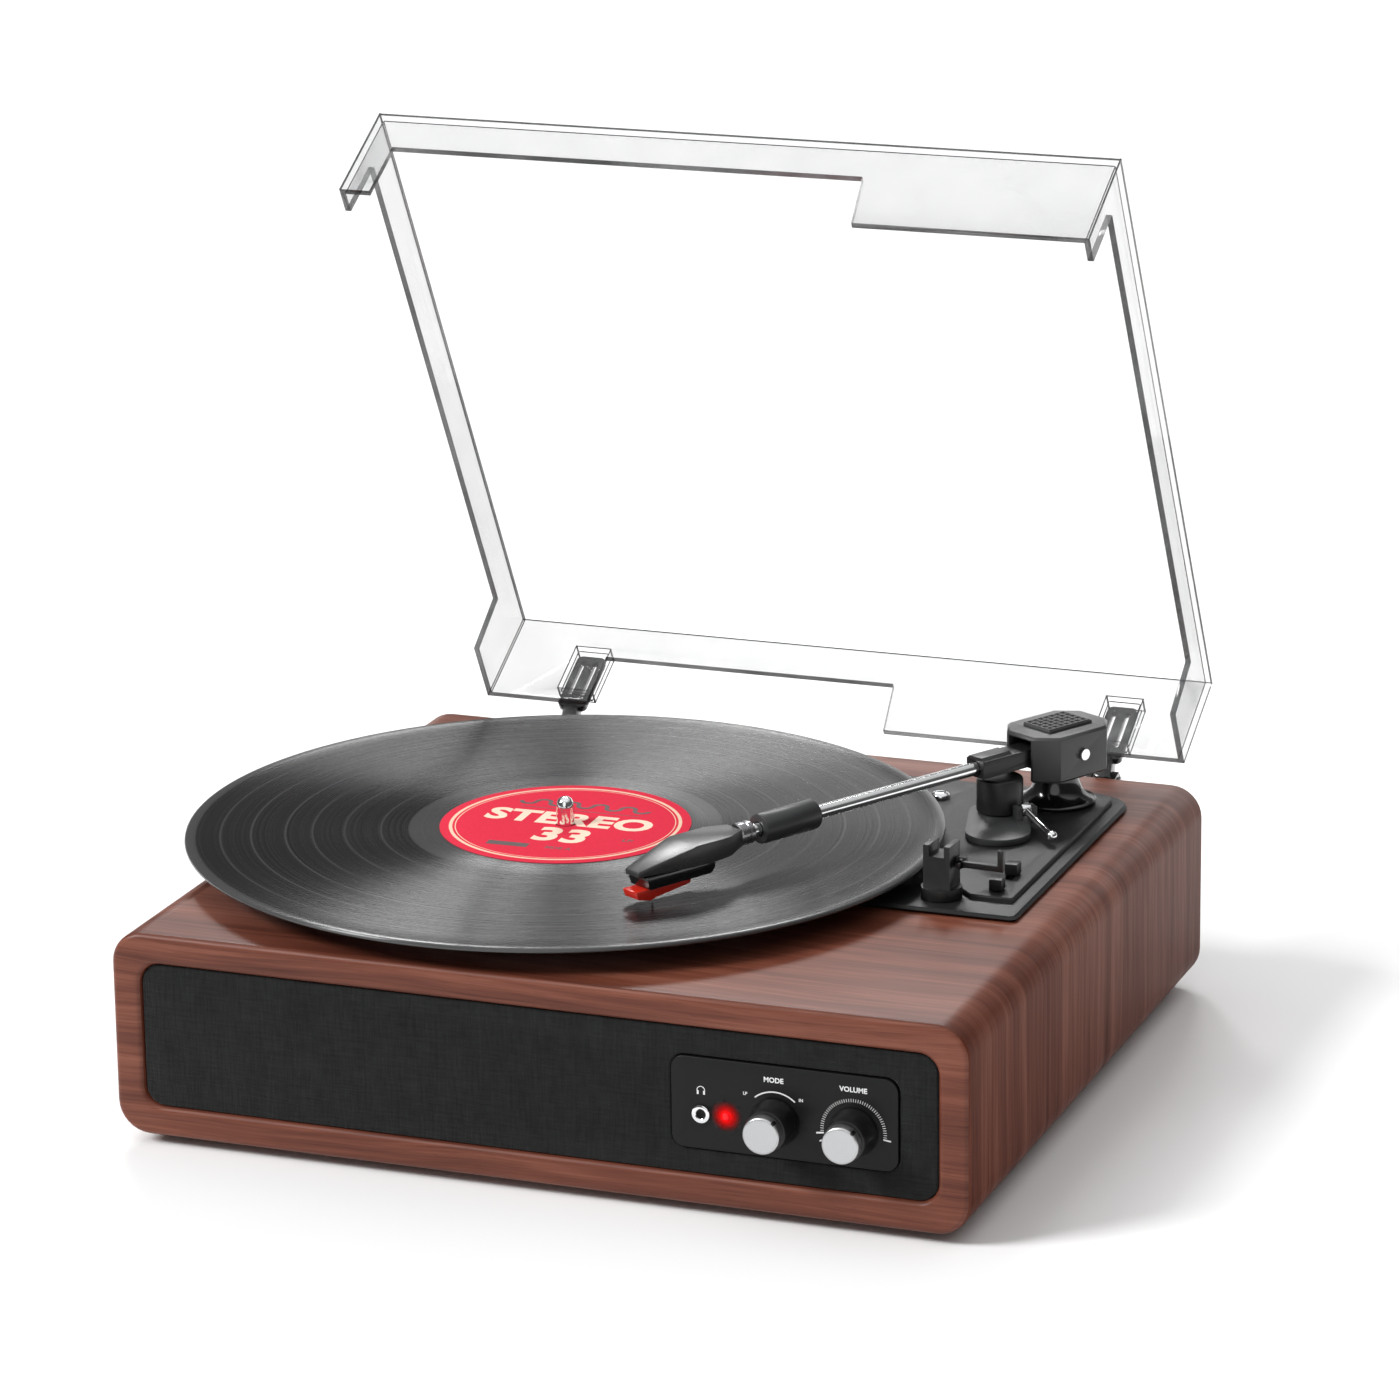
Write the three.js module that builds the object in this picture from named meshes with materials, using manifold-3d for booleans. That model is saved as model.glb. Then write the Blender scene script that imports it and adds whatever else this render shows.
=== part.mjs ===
// A belt-drive turntable with built-in speakers: wooden plinth, deck, platter, tonearm and dust cover.
// Millimetres, +Z up. The plinth frame has X to the right, Y to the back and Z = 0 at the plinth's underside.
import * as THREE from 'three';
import { mergeVertices } from 'three/addons/utils/BufferGeometryUtils.js';
import Module from 'manifold-3d';

const wasm = await Module();
wasm.setup();

// ---------------------------------------------------------------- driving dimensions

const SEAT_GAP = 0.3;      // between pieces that rest on or run past each other
const FINE = 48;           // segments of a large round
const COARSE = 20;         // segments of a small round
const CURVE = 4;           // segments of a rounded corner

const PLINTH = { width: 346, depth: 306, height: 82, wall: 12, edgeRadius: 13, innerRadius: 8 };
const FOOT = { radius: 7, height: 4, insetX: 20, insetY: 17 };

const GRILLE = { recess: 1.5, thickness: 2.5, fit: 0.4 };
const BAFFLE = { thickness: 6 };
const SPEAKER = { radius: 25, coneRadius: 21, depth: 27, magnetRadius: 15, insetX: 60, spacing: 105 };

const PANEL = {
  width: 89, height: 36, radius: 5, thickness: 3, front: 0.6, insetX: 72, insetZ: 41.5,
  jackX: -32.6, ledX: -22.8, modeX: -3.6, volumeX: 27.2, controlsZ: -4,
};
const KNOB = {
  skirtRadius: 9.4, skirtDepth: 10.5, capRadius: 7.2, capDepth: 4.6, shaftRadius: 3, shaftBore: 3.4, shaftDepth: 12,
};
const POT = { radius: 8, depth: 8 };
const JACK = { ringRadius: 3.6, bodyRadius: 3, bore: 1.8, depth: 12, proud: 1.2 };
const LED = { radius: 1.5, flange: 2, depth: 6, proud: 1 };

const DECK = {
  flange: 2.5, bevel: 1.2, platform: 2, frontBeyondRest: 15, insetRight: 20, insetRear: 29, rearRadius: 14,
  wellClearance: 4, wellWall: 2, wellFloor: 2, wellDepth: 9, ringWidth: 4, borderRight: 6, platformReach: 37, fieldLeft: 40,
};
const PLATTER = { radius: 112, thickness: 3, skirt: 4.7, rimWall: 3, hubRadius: 9, hubDrop: 6, top: 8.1 };
const BELT = { rimRadius: 85, rimWall: 3, pulleyRadius: 5, centres: 97, angle: 140, width: 4, thickness: 0.8, drop: 5 };
const SPINDLE = { x: 130, y: 145, radius: 3.6, proud: 11.5, depth: 34 };
const BEARING = { radius: 7, flangeRadius: 14, flange: 2, floor: 3 };
const MOTOR = { radius: 17.5, length: 25, shaft: 1.2, shaftBore: 1.8 };
const SLIPMAT = { radius: 110, thickness: 1 };
const RECORD = { radius: 150.8, thickness: 2, grooveRecess: 0.2, rim: 3.8, labelRadius: 50, labelThickness: 0.2 };

const ARM = {
  insetX: 47, insetY: 50, axisHeight: 28, overhang: 11.8, playAngle: 28.6, parkedAngle: 3.5,
  tubeRadius: 2.75, tubeWall: 0.7, tubeStart: 37.5, holderWidth: 10, holderHeight: 7.2, holderFront: 45, holderRear: 9,
  sleeveRadius: 6, sleeveLength: 28.5, sleeveBeforeTip: 82.5, collarRadius: 4.6, collarLength: 7, collarBeforeTip: 49.5,
  weightRadius: 6.2, weightLength: 9, axleRadius: 1.3, axleHead: 2.3,
};
const HOOD = { width: 31, front: 20.5, rear: 21, chamfer: 8, wall: 1.8, bottom: 18, top: 37, mouth: 12.6, pad: 1.2 };
const ARM_BASE = { radius: 16, neckRadius: 9, height: 15.5, shaftRadius: 3, shaftClearance: 0.4 };
const YOKE = { halfLength: 7, plate: 2.4, cheek: 2, cheekTop: 32 };
const HEAD = { length: 52, width: 17, neck: 9, tip: 8, above: 3.6, below: 4.6, tipHeight: 2 };
const CARTRIDGE = { length: 34, width: 12, aheadOfTip: 7 };
const STYLUS = { length: 27, width: 8, height: 6.2, aheadOfTip: 11, clearance: 0.35 };
const REST = { discRadius: 8, discHeight: 4.5, post: 11, height: 24.8, slotWidth: 6.2, slotDepth: 4.6, behindSleeve: 7.5 };
const CLIP = { pivotZ: 17, pivotOut: 2.4, length: 15.5, thickness: 2.4, bar: 2.4, hook: 6.5 };
const CUE = {
  padReach: 31.5, padRadius: 9.4, padTop: 22, wall: 1.8, baseThickness: 2.6, baseRadius: 12.3,
  lobeX: 7.1, lobeY: -24.4, lobeRadius: 13, guideRadius: 5, guideTop: 17,
};
const LEVER = { offsetX: 12.6, offsetY: -6.4, height: 11, endX: 17.5, endY: -20, endHeight: 8, radius: 1.5, hub: 2.6 };
const SLIDE = { cap: 5.2, capHeight: 4.6, stemWidth: 2.6, stemLength: 4, insetRight: 15, slotFit: 0.4 };
const SPEED = { beforeRest: -29, travel: 8, start: -4 };
const AUTO_STOP = { beforeRest: -9, travel: 4, start: 0 };
const TRANSIT = { insetX: 95, insetY: 54, radius: 4, dome: 2.2 };

const LID = {
  angle: 61, height: 47, wall: 2.5, insetLeft: 26, insetRight: 10, insetFront: 21, insetRear: 1, lift: 1.5,
  shallow: 20, recordClearance: 0.8, frontLeg: 13, frontRight: 99, sideFrontLeg: 11.5, sideRear: 32, rearLeft: 46,
  rearRight: 134, slant: 3.5,
};
const HINGE = {
  spread: 119, centre: 1.5, pivotY: 8, pivotZ: -3, knuckle: 3.4, pinRadius: 1.2, width: 12.6, ear: 2.8, blade: 2.8,
  bladeOut: 1.8, bladeLength: 30, pocketLength: 34, pocketWall: 1.6, plateTop: -1, plateBottom: -15, plate: 2,
  neck: 6,
};
const REAR = {
  inset: 10, thickness: 3, fit: 0.4, socketsX: -75, socketsWidth: 44, socketsHeight: 16, inletX: 60, inletBore: 4.3,
  rockerX: 100, rockerWidth: 12, rockerHeight: 18, rockerFit: 0.9, rockerDepth: 5, rockerTilt: 6,
};
const BOARD = { width: 90, depth: 60, thickness: 1.6, standoff: 8, insetX: 80, y: 70 };

// ---------------------------------------------------------------- places worked out from them

const deckZ = PLINTH.height;
const platformZ = deckZ + DECK.flange + DECK.platform;
const recordTop = deckZ + PLATTER.top + SLIPMAT.thickness + 2 * 0.2 + RECORD.thickness;
const pivot = new THREE.Vector2(PLINTH.width - ARM.insetX, PLINTH.depth - ARM.insetY);
const armLength = pivot.distanceTo(new THREE.Vector2(SPINDLE.x, SPINDLE.y)) + ARM.overhang;
const axisZ = deckZ + ARM.axisHeight;
const sleeveStart = armLength - ARM.sleeveBeforeTip;
const restReach = sleeveStart - REST.behindSleeve;
const parked = THREE.MathUtils.degToRad(ARM.parkedAngle);
const rest = new THREE.Vector2(pivot.x - restReach * Math.sin(parked), pivot.y - restReach * Math.cos(parked));
const deckFront = rest.y - DECK.frontBeyondRest;
const deckRight = PLINTH.width - DECK.insetRight;
const deckRear = PLINTH.depth - DECK.insetRear;
const wellRadius = PLATTER.radius + DECK.wellClearance;
const slideX = deckRight - SLIDE.insetRight;
const panelX = PLINTH.width - PANEL.insetX;
const panelZ = PLINTH.height - PANEL.insetZ;
const controlsZ = panelZ + PANEL.controlsZ;
const baffleY = GRILLE.recess + GRILLE.thickness + SEAT_GAP;
const beltAngle = THREE.MathUtils.degToRad(BELT.angle);
const motorX = SPINDLE.x + BELT.centres * Math.cos(beltAngle);
const motorY = SPINDLE.y + BELT.centres * Math.sin(beltAngle);
const insideWidth = PLINTH.width - 2 * PLINTH.wall;
const insideHeight = PLINTH.height - 2 * PLINTH.wall;
const lidWidth = PLINTH.width - LID.insetLeft - LID.insetRight;
const lidDepth = PLINTH.depth - LID.insetFront - LID.insetRear;
const rearY = PLINTH.depth - REAR.inset;

// ---------------------------------------------------------------- materials

const finish = (color, roughness, metalness = 0) => new THREE.MeshStandardMaterial({ color, roughness, metalness });
const walnut = finish(0x5a2a1a, 0.45);
const board = finish(0x2a2521, 0.9);
const cloth = finish(0x222427, 0.95);
const black = finish(0x141516, 0.5);
const gloss = finish(0x0e0f10, 0.25);
const grey = finish(0x3c3e40, 0.45);
const rubber = finish(0x101010, 0.9);
const vinyl = finish(0x0b0b0c, 0.25);
const felt = finish(0x1a1a1c, 1);
const paper = finish(0xd94b57, 0.7);
const chrome = finish(0xd8dadc, 0.12, 1);
const steel = finish(0x9a9c9e, 0.35, 1);
const aluminium = finish(0xb9bbbd, 0.35, 1);
const brass = finish(0xb08d4a, 0.35, 1);
const red = finish(0xc8260f, 0.35);
const circuit = finish(0x1d5a34, 0.6);
const lamp = finish(0xff2a1a, 0.3);
const acrylic = new THREE.MeshStandardMaterial({ color: 0xe9eef0, roughness: 0.05, transparent: true, opacity: 0.3 });

// ---------------------------------------------------------------- geometry helpers

/** A closed three.js geometry as a solid: shared vertices merged, slivers dropped and faces turned outwards. */
function solid(geometry) {
  const bare = geometry.index ? geometry.toNonIndexed() : geometry.clone();
  bare.deleteAttribute('uv');
  bare.deleteAttribute('normal');
  const merged = mergeVertices(bare, 1e-4);
  const p = merged.getAttribute('position');
  const faces = [];
  let volume = 0;
  const [a, b, c] = [new THREE.Vector3(), new THREE.Vector3(), new THREE.Vector3()];
  for (let i = 0; i < merged.index.count; i += 3) {
    const [u, v, w] = [0, 1, 2].map((k) => merged.index.getX(i + k));
    if (u === v || v === w || w === u) continue;
    faces.push(u, v, w);
    volume += a.fromBufferAttribute(p, u).dot(b.fromBufferAttribute(p, v).cross(c.fromBufferAttribute(p, w)));
  }
  if (volume < 0) faces.reverse();
  const shape = { numProp: 3, vertProperties: new Float32Array(p.array), triVerts: new Uint32Array(faces) };
  return new wasm.Manifold(new wasm.Mesh(shape));
}

/** The first solid joined with the others. */
const join = (first, ...others) => others.reduce((sum, other) => sum.add(other), first);

/** The first solid with the others cut away. */
const cut = (first, ...others) => others.reduce((left, other) => left.subtract(other), first);

/** A block between two corners. */
function block(x0, x1, y0, y1, z0, z1) {
  const geometry = new THREE.BoxGeometry(x1 - x0, y1 - y0, z1 - z0);
  return solid(geometry.translate((x0 + x1) / 2, (y0 + y1) / 2, (z0 + z1) / 2));
}

/** A round solid about Z at (x, y), from pairs of radius and height. */
function turned(pairs, segments = COARSE, x = 0, y = 0) {
  const points = pairs.map(([r, z]) => new THREE.Vector2(r, z));
  points.push(points[0].clone());
  return solid(new THREE.LatheGeometry(points, segments).rotateX(Math.PI / 2).translate(x, y, 0));
}

/** A round solid about an axis along Y at (x, z), from pairs of radius and depth towards the back. */
function turnedAlongY(pairs, segments = COARSE, x = 0, z = 0) {
  const points = pairs.map(([r, y]) => new THREE.Vector2(r, y));
  points.push(points[0].clone());
  return solid(new THREE.LatheGeometry(points, segments).translate(x, 0, z));
}

/** A plain rod about Z. */
const rod = (radius, z0, z1, x = 0, y = 0, segments = COARSE) =>
  turned([[0, z0], [radius, z0], [radius, z1], [0, z1]], segments, x, y);

/** A plain rod along Y. */
const rodY = (radius, y0, y1, x = 0, z = 0, segments = COARSE) =>
  turnedAlongY([[0, y0], [radius, y0], [radius, y1], [0, y1]], segments, x, z);

/** A plain rod along X. */
const rodX = (radius, x0, x1, y = 0, z = 0, segments = COARSE) =>
  solid(new THREE.CylinderGeometry(radius, radius, x1 - x0, segments).rotateZ(Math.PI / 2)
    .translate((x0 + x1) / 2, y, z));

/** An outline raised from z0 to z1, with its top edge bevelled where a bevel is given. */
function raised(shape, z0, z1, bevel = 0) {
  const settings = { depth: z1 - z0 - bevel, curveSegments: CURVE, bevelEnabled: false };
  if (bevel > 0) {
    Object.assign(settings, { bevelEnabled: true, bevelSize: bevel, bevelThickness: bevel, bevelSegments: 1 });
    settings.bevelOffset = -bevel;
    settings.depth = z1 - z0 - 2 * bevel;
  }
  const geometry = new THREE.ExtrudeGeometry(shape, settings);
  return solid(geometry.translate(0, 0, z0 + (bevel > 0 ? bevel : 0)));
}

/** An outline in X and Z, given depth from y0 to y1. */
function deep(shape, y0, y1) {
  const geometry = new THREE.ExtrudeGeometry(shape, { depth: y1 - y0, curveSegments: CURVE, bevelEnabled: false });
  return solid(geometry.rotateX(Math.PI / 2).translate(0, y1, 0));
}

/** An outline in Y and Z, given width from x0 to x1. */
function wide(shape, x0, x1) {
  const geometry = new THREE.ExtrudeGeometry(shape, { depth: x1 - x0, curveSegments: CURVE, bevelEnabled: false });
  const turn = new THREE.Matrix4().makeBasis(
    new THREE.Vector3(0, 1, 0), new THREE.Vector3(0, 0, 1), new THREE.Vector3(1, 0, 0));
  return solid(geometry.applyMatrix4(turn).translate(x0, 0, 0));
}

/** A straight-sided outline through the given points. */
const outline = (points) => new THREE.Shape(points.map(([u, v]) => new THREE.Vector2(u, v)));

/** A rectangle about (u, v) with rounded corners. */
function roundedRect(width, height, radius, u = 0, v = 0) {
  const shape = new THREE.Shape();
  const [w, h] = [width / 2 - radius, height / 2 - radius];
  shape.absarc(u + w, v + h, radius, 0, Math.PI / 2);
  shape.absarc(u - w, v + h, radius, Math.PI / 2, Math.PI);
  shape.absarc(u - w, v - h, radius, Math.PI, Math.PI * 1.5);
  shape.absarc(u + w, v - h, radius, Math.PI * 1.5, Math.PI * 2);
  return shape;
}

/** The outline round two circles, one at the origin and one along +X. */
function stadium(radius0, radius1, distance) {
  const shape = new THREE.Shape();
  const open = Math.acos((radius0 - radius1) / distance);
  shape.absarc(0, 0, radius0, open, Math.PI * 2 - open);
  shape.absarc(distance, 0, radius1, -open, open);
  return shape;
}

/** A named mesh made from a solid. */
function part(name, made, material) {
  const { vertProperties, triVerts } = made.getMesh();
  const geometry = new THREE.BufferGeometry();
  geometry.setAttribute('position', new THREE.BufferAttribute(new Float32Array(vertProperties), 3));
  geometry.setIndex(new THREE.BufferAttribute(new Uint32Array(triVerts), 1));
  geometry.computeVertexNormals();
  const mesh = new THREE.Mesh(geometry, material);
  mesh.name = name;
  return mesh;
}

// ---------------------------------------------------------------- plinth

/** Points along an arc about (x, y), both ends included. */
function arc(x, y, radius, from, to, count) {
  const turn = (k) => THREE.MathUtils.degToRad(from + ((to - from) * k) / count);
  return Array.from({ length: count + 1 }, (_, k) => [x + radius * Math.cos(turn(k)), y + radius * Math.sin(turn(k))]);
}

/** The deck's outline: a round field for the platter, and a square one for the tonearm. */
function deckShape() {
  const ring = wellRadius + DECK.ringWidth;
  const [left, corner] = [SPINDLE.x + DECK.fieldLeft, DECK.rearRadius];
  const start = THREE.MathUtils.radToDeg(Math.acos(DECK.fieldLeft / ring));
  const end = 360 + THREE.MathUtils.radToDeg(Math.asin((deckFront - SPINDLE.y) / ring));
  return outline([
    [deckRight - 2, deckFront], [deckRight, deckFront + 2],
    ...arc(deckRight - corner, deckRear - corner, corner, 0, 90, 5),
    [left, deckRear], ...arc(SPINDLE.x, SPINDLE.y, ring, start, end, 44)]);
}

function plinthCase() {
  const { width, depth, height, wall, edgeRadius, innerRadius } = PLINTH;
  const section = roundedRect(width, height, edgeRadius, width / 2, height / 2);
  section.holes.push(roundedRect(insideWidth, insideHeight, innerRadius, width / 2, height / 2));
  const opening = join(
    rod(wellRadius + DECK.wellWall + 1, height - wall - 1, height + 1, SPINDLE.x, SPINDLE.y, FINE),
    block(SPINDLE.x + wellRadius, deckRight - 8, rest.y + 4, deckRear - 8, height - wall - 1, height + 1));
  return part('plinth_case', cut(deep(section, 0, depth), opening), walnut);
}

function foot(name, x, y) {
  const { radius, height } = FOOT;
  const profile = [[0, -height], [radius - 1.2, -height], [radius, -height + 1.2], [radius, -0.2], [0, -0.2]];
  return part(name, turned(profile, COARSE, x, y), rubber);
}

function feet() {
  const { insetX, insetY } = FOOT;
  const [right, rear] = [PLINTH.width - insetX, PLINTH.depth - insetY];
  return [
    foot('foot_front_left', insetX, insetY),
    foot('foot_front_right', right, insetY),
    foot('foot_rear_left', insetX, rear),
    foot('foot_rear_right', right, rear),
  ];
}

/** A plate that fits inside the case, from y0 to y1. */
function insidePlate(fit, y0, y1) {
  const [x, z] = [PLINTH.width / 2, PLINTH.height / 2];
  const corner = PLINTH.innerRadius - fit;
  return deep(roundedRect(insideWidth - 2 * fit, insideHeight - 2 * fit, corner, x, z), y0, y1);
}

const speakerX = (n) => SPEAKER.insetX + n * SPEAKER.spacing;

/** The window behind the control panel, for its jack, lamp and controls. */
const panelWindow = (margin, y0, y1) =>
  deep(roundedRect(PANEL.width - margin, PANEL.height - margin, PANEL.radius, panelX, panelZ), y0, y1);

function grilleCloth() {
  const [y0, y1] = [GRILLE.recess, GRILLE.recess + GRILLE.thickness];
  const gap = panelWindow(-2 * GRILLE.fit, y0 - 1, y1 + 1);
  return part('grille_cloth', cut(insidePlate(GRILLE.fit, y0, y1), gap), cloth);
}

function frontBaffle() {
  const [y0, y1] = [baffleY, baffleY + BAFFLE.thickness];
  const holes = [0, 1].map((n) => rodY(SPEAKER.coneRadius, y0 - 1, y1 + 1, speakerX(n), PLINTH.height / 2, 24));
  const plate = cut(insidePlate(GRILLE.fit, y0, y1), ...holes, panelWindow(6, y0 - 1, y1 + 1));
  return part('front_baffle', plate, board);
}

function speaker(name, n) {
  const { radius, coneRadius, depth, magnetRadius } = SPEAKER;
  const y = baffleY + BAFFLE.thickness + SEAT_GAP;
  const profile = [
    [0, y + 9], [7, y + 9], [coneRadius - 2, y + 1.5], [coneRadius, y], [radius, y], [radius, y + 2],
    [magnetRadius - 3, y + depth - 11], [magnetRadius, y + depth - 11], [magnetRadius, y + depth], [0, y + depth]];
  return part(name, turnedAlongY(profile, 24, speakerX(n), PLINTH.height / 2), black);
}

// ---------------------------------------------------------------- control panel

function controlPanel() {
  const { front, thickness, jackX, ledX, modeX, volumeX, width, height, radius } = PANEL;
  const [y0, y1] = [front, front + thickness];
  const plate = deep(roundedRect(width, height, radius, panelX, panelZ), y0, y1);
  const hole = (r, x) => rodY(r, y0 - 1, y1 + 1, panelX + x, controlsZ);
  const drilled = cut(plate, hole(JACK.bodyRadius + 0.3, jackX), hole(LED.radius + 0.3, ledX),
    hole(KNOB.shaftBore, modeX), hole(KNOB.shaftBore, volumeX));
  return part('control_panel', drilled, gloss);
}

function headphoneJack() {
  const { ringRadius, bodyRadius, bore, depth, proud } = JACK;
  const [y0, y1] = [PANEL.front - proud, PANEL.front - 0.2];
  const profile = [
    [bore, y0], [ringRadius, y0], [ringRadius, y1], [bodyRadius, y1], [bodyRadius, y1 + depth], [bore, y1 + depth]];
  return part('headphone_jack', turnedAlongY(profile, COARSE, panelX + PANEL.jackX, controlsZ), chrome);
}

function powerLed() {
  const { radius, flange, depth, proud } = LED;
  const [y0, y1] = [PANEL.front - proud, PANEL.front + PANEL.thickness + 0.2];
  const profile = [[0, y0], [radius * 0.7, y0 + 0.25], [radius, y0 + 0.9], [radius, y1], [flange, y1],
    [flange, y0 + depth], [0, y0 + depth]];
  return part('power_led', turnedAlongY(profile, 20, panelX + PANEL.ledX, controlsZ), lamp);
}

/** A control's body behind the panel, with its shaft bore. */
function controlBody(name, x) {
  const y0 = PANEL.front + PANEL.thickness + SEAT_GAP;
  const bore = KNOB.shaftBore;
  const profile = [[bore, y0], [POT.radius, y0], [POT.radius, y0 + POT.depth], [bore, y0 + POT.depth]];
  return part(name, turnedAlongY(profile, COARSE, panelX + x, controlsZ), steel);
}

/** A knob: a black skirt on its shaft, and the metal cap on its face. */
function knob(name, x) {
  const { skirtRadius, skirtDepth, capRadius, capDepth, shaftRadius, shaftDepth } = KNOB;
  const y1 = PANEL.front - SEAT_GAP;
  const y0 = y1 - skirtDepth;
  const skirt = [
    [0, y0], [capRadius + 0.8, y0], [skirtRadius - 0.6, y1 - 2], [skirtRadius, y1 - 1], [skirtRadius, y1],
    [shaftRadius, y1], [shaftRadius, y1 + shaftDepth], [0, y1 + shaftDepth]];
  const [c0, c1] = [y0 - SEAT_GAP - capDepth, y0 - SEAT_GAP];
  const cap = [[0, c0], [capRadius - 0.7, c0], [capRadius, c0 + 0.7], [capRadius, c1], [0, c1]];
  return [
    part(name, turnedAlongY(skirt, 26, panelX + x, controlsZ), black),
    part(`${name}_cap`, turnedAlongY(cap, 26, panelX + x, controlsZ), aluminium),
  ];
}

function amplifierBoard() {
  const { width, depth, thickness, standoff, insetX, y } = BOARD;
  const x = PLINTH.width - insetX;
  const z = PLINTH.wall + SEAT_GAP + standoff;
  const [x0, x1, y0, y1] = [x - width / 2, x + width / 2, y - depth / 2, y + depth / 2];
  const legs = [[x0 + 5, y0 + 5], [x1 - 5, y0 + 5], [x0 + 5, y1 - 5], [x1 - 5, y1 - 5]]
    .map(([u, v]) => rod(3, PLINTH.wall + SEAT_GAP, z + 0.1, u, v, 8));
  const capacitors = [0, 1, 2].map((n) => rod(5, z + 1, z + 15, x0 + 20 + 14 * n, y1 - 12, 12));
  const heatsink = block(x1 - 34, x1 - 10, y0 + 10, y0 + 16, z + 1, z + 22);
  return part('amplifier_board', join(block(x0, x1, y0, y1, z, z + thickness), ...legs, ...capacitors, heatsink), circuit);
}

// ---------------------------------------------------------------- rear panel

function rearPanel() {
  const { thickness, fit, socketsX, socketsWidth, socketsHeight, inletX, inletBore } = REAR;
  const { rockerX, rockerWidth, rockerHeight, rockerFit } = REAR;
  const [y0, y1, x, z] = [rearY - thickness, rearY, PLINTH.width / 2, PLINTH.height / 2];
  const window = (u, w, h) => block(x + u - w / 2, x + u + w / 2, y0 - 1, y1 + 1, z - h / 2, z + h / 2);
  const plate = cut(insidePlate(fit, y0, y1), window(socketsX, socketsWidth, socketsHeight),
    window(rockerX, rockerWidth + 2 * fit, rockerHeight + 2 * rockerFit),
    rodY(inletBore, y0 - 1, y1 + 1, x + inletX, z));
  return part('rear_panel', plate, black);
}

function audioSockets() {
  const { thickness, fit, socketsX, socketsWidth, socketsHeight } = REAR;
  const [x, z] = [PLINTH.width / 2 + socketsX, PLINTH.height / 2];
  const [w, h] = [socketsWidth / 2 - fit, socketsHeight / 2 - fit];
  const body = block(x - w, x + w, rearY - thickness - 9, rearY, z - h, z + h);
  const barrel = (u, radius, bore, y1) => [
    rodY(radius, rearY - 1, y1, x + u, z, 16), rodY(bore, rearY - 8, y1 + 1, x + u, z, 10)];
  const [left, right, line] = [barrel(-15, 4.2, 1.6, rearY + 8.5), barrel(0, 4.2, 1.6, rearY + 8.5),
    barrel(14, 3.4, 1.8, rearY + 1)];
  return part('audio_sockets', cut(join(body, left[0], right[0], line[0]), left[1], right[1], line[1]), black);
}

function powerInlet() {
  const { thickness, inletX, inletBore } = REAR;
  const outer = inletBore - SEAT_GAP;
  const [y0, y1] = [rearY - thickness - 9, rearY + 0.6];
  const profile = [[0, y0], [outer, y0], [outer, y1], [outer - 1, y1], [outer - 1, y0 + 2], [1, y0 + 2], [1, y1 - 1],
    [0, y1 - 1]];
  return part('power_inlet', turnedAlongY(profile, 24, PLINTH.width / 2 + inletX, PLINTH.height / 2), black);
}

/** The mains rocker, pressed at its lower end, about a pivot in the plane of the panel. */
function powerRocker() {
  const { thickness, rockerX, rockerWidth, rockerHeight, rockerDepth, rockerTilt } = REAR;
  const h = rockerHeight / 2;
  const side = outline([[-rockerDepth, -h * 0.6], [1.4, -h], [3.4, -h], [1.6, 0], [3.4, h], [1.4, h],
    [-rockerDepth, h * 0.6]]);
  const group = new THREE.Group();
  group.position.set(PLINTH.width / 2 + rockerX, rearY - thickness / 2, PLINTH.height / 2);
  group.rotation.x = THREE.MathUtils.degToRad(rockerTilt);
  group.add(part('power_rocker', wide(side, -rockerWidth / 2, rockerWidth / 2), black));
  return group;
}

// ---------------------------------------------------------------- deck

/** The raised field that carries the tonearm, cue lift and slides. */
function platformShape() {
  const x1 = deckRight - DECK.borderRight;
  const [y0, y1] = [rest.y + 1, deckRear - 5];
  const corner = DECK.rearRadius - 5;
  const shape = new THREE.Shape();
  shape.moveTo(rest.x + 11, y0);
  shape.lineTo(x1, y0);
  shape.absarc(x1 - corner, y1 - corner, corner, 0, Math.PI / 2);
  shape.lineTo(pivot.x - DECK.platformReach, y1);
  shape.lineTo(pivot.x - DECK.platformReach, rest.y + 58);
  shape.lineTo(rest.x - 5, rest.y + 18);
  return shape;
}

function slideSlot(setting) {
  const width = SLIDE.stemWidth / 2 + SLIDE.slotFit;
  const y = rest.y - setting.beforeRest + setting.start;
  const end = SLIDE.stemLength / 2 + SLIDE.slotFit;
  return block(slideX - width, slideX + width, y - end, y + setting.travel + end, deckZ - 20, platformZ + 1);
}

function deckPlate() {
  const floor = deckZ - DECK.wellDepth;
  const outer = wellRadius + DECK.wellWall;
  const low = deckZ - DECK.wellDepth - DECK.wellFloor;
  const flange = raised(deckShape(), deckZ + 0.2, deckZ + DECK.flange, DECK.bevel);
  const well = rod(outer, low, deckZ + 1, SPINDLE.x, SPINDLE.y, FINE);
  const platform = raised(platformShape(), deckZ + 1, platformZ, 0.6);
  const hollow = rod(wellRadius, floor, deckZ + 20, SPINDLE.x, SPINDLE.y, FINE);
  const holes = [
    rod(SPINDLE.radius + 1.4, low - 1, floor + 1, SPINDLE.x, SPINDLE.y),
    rod(BELT.pulleyRadius + 2, low - 1, floor + 1, motorX, motorY),
    rod(ARM_BASE.shaftRadius + 2, deckZ - 1, platformZ + 1, pivot.x, pivot.y),
    rod(TRANSIT.radius - 1.6, deckZ - 1, platformZ + 1, PLINTH.width - TRANSIT.insetX, PLINTH.depth - TRANSIT.insetY),
    slideSlot(SPEED), slideSlot(AUTO_STOP),
  ];
  return part('deck_plate', cut(join(flange, well, platform), hollow, ...holes), black);
}

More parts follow.
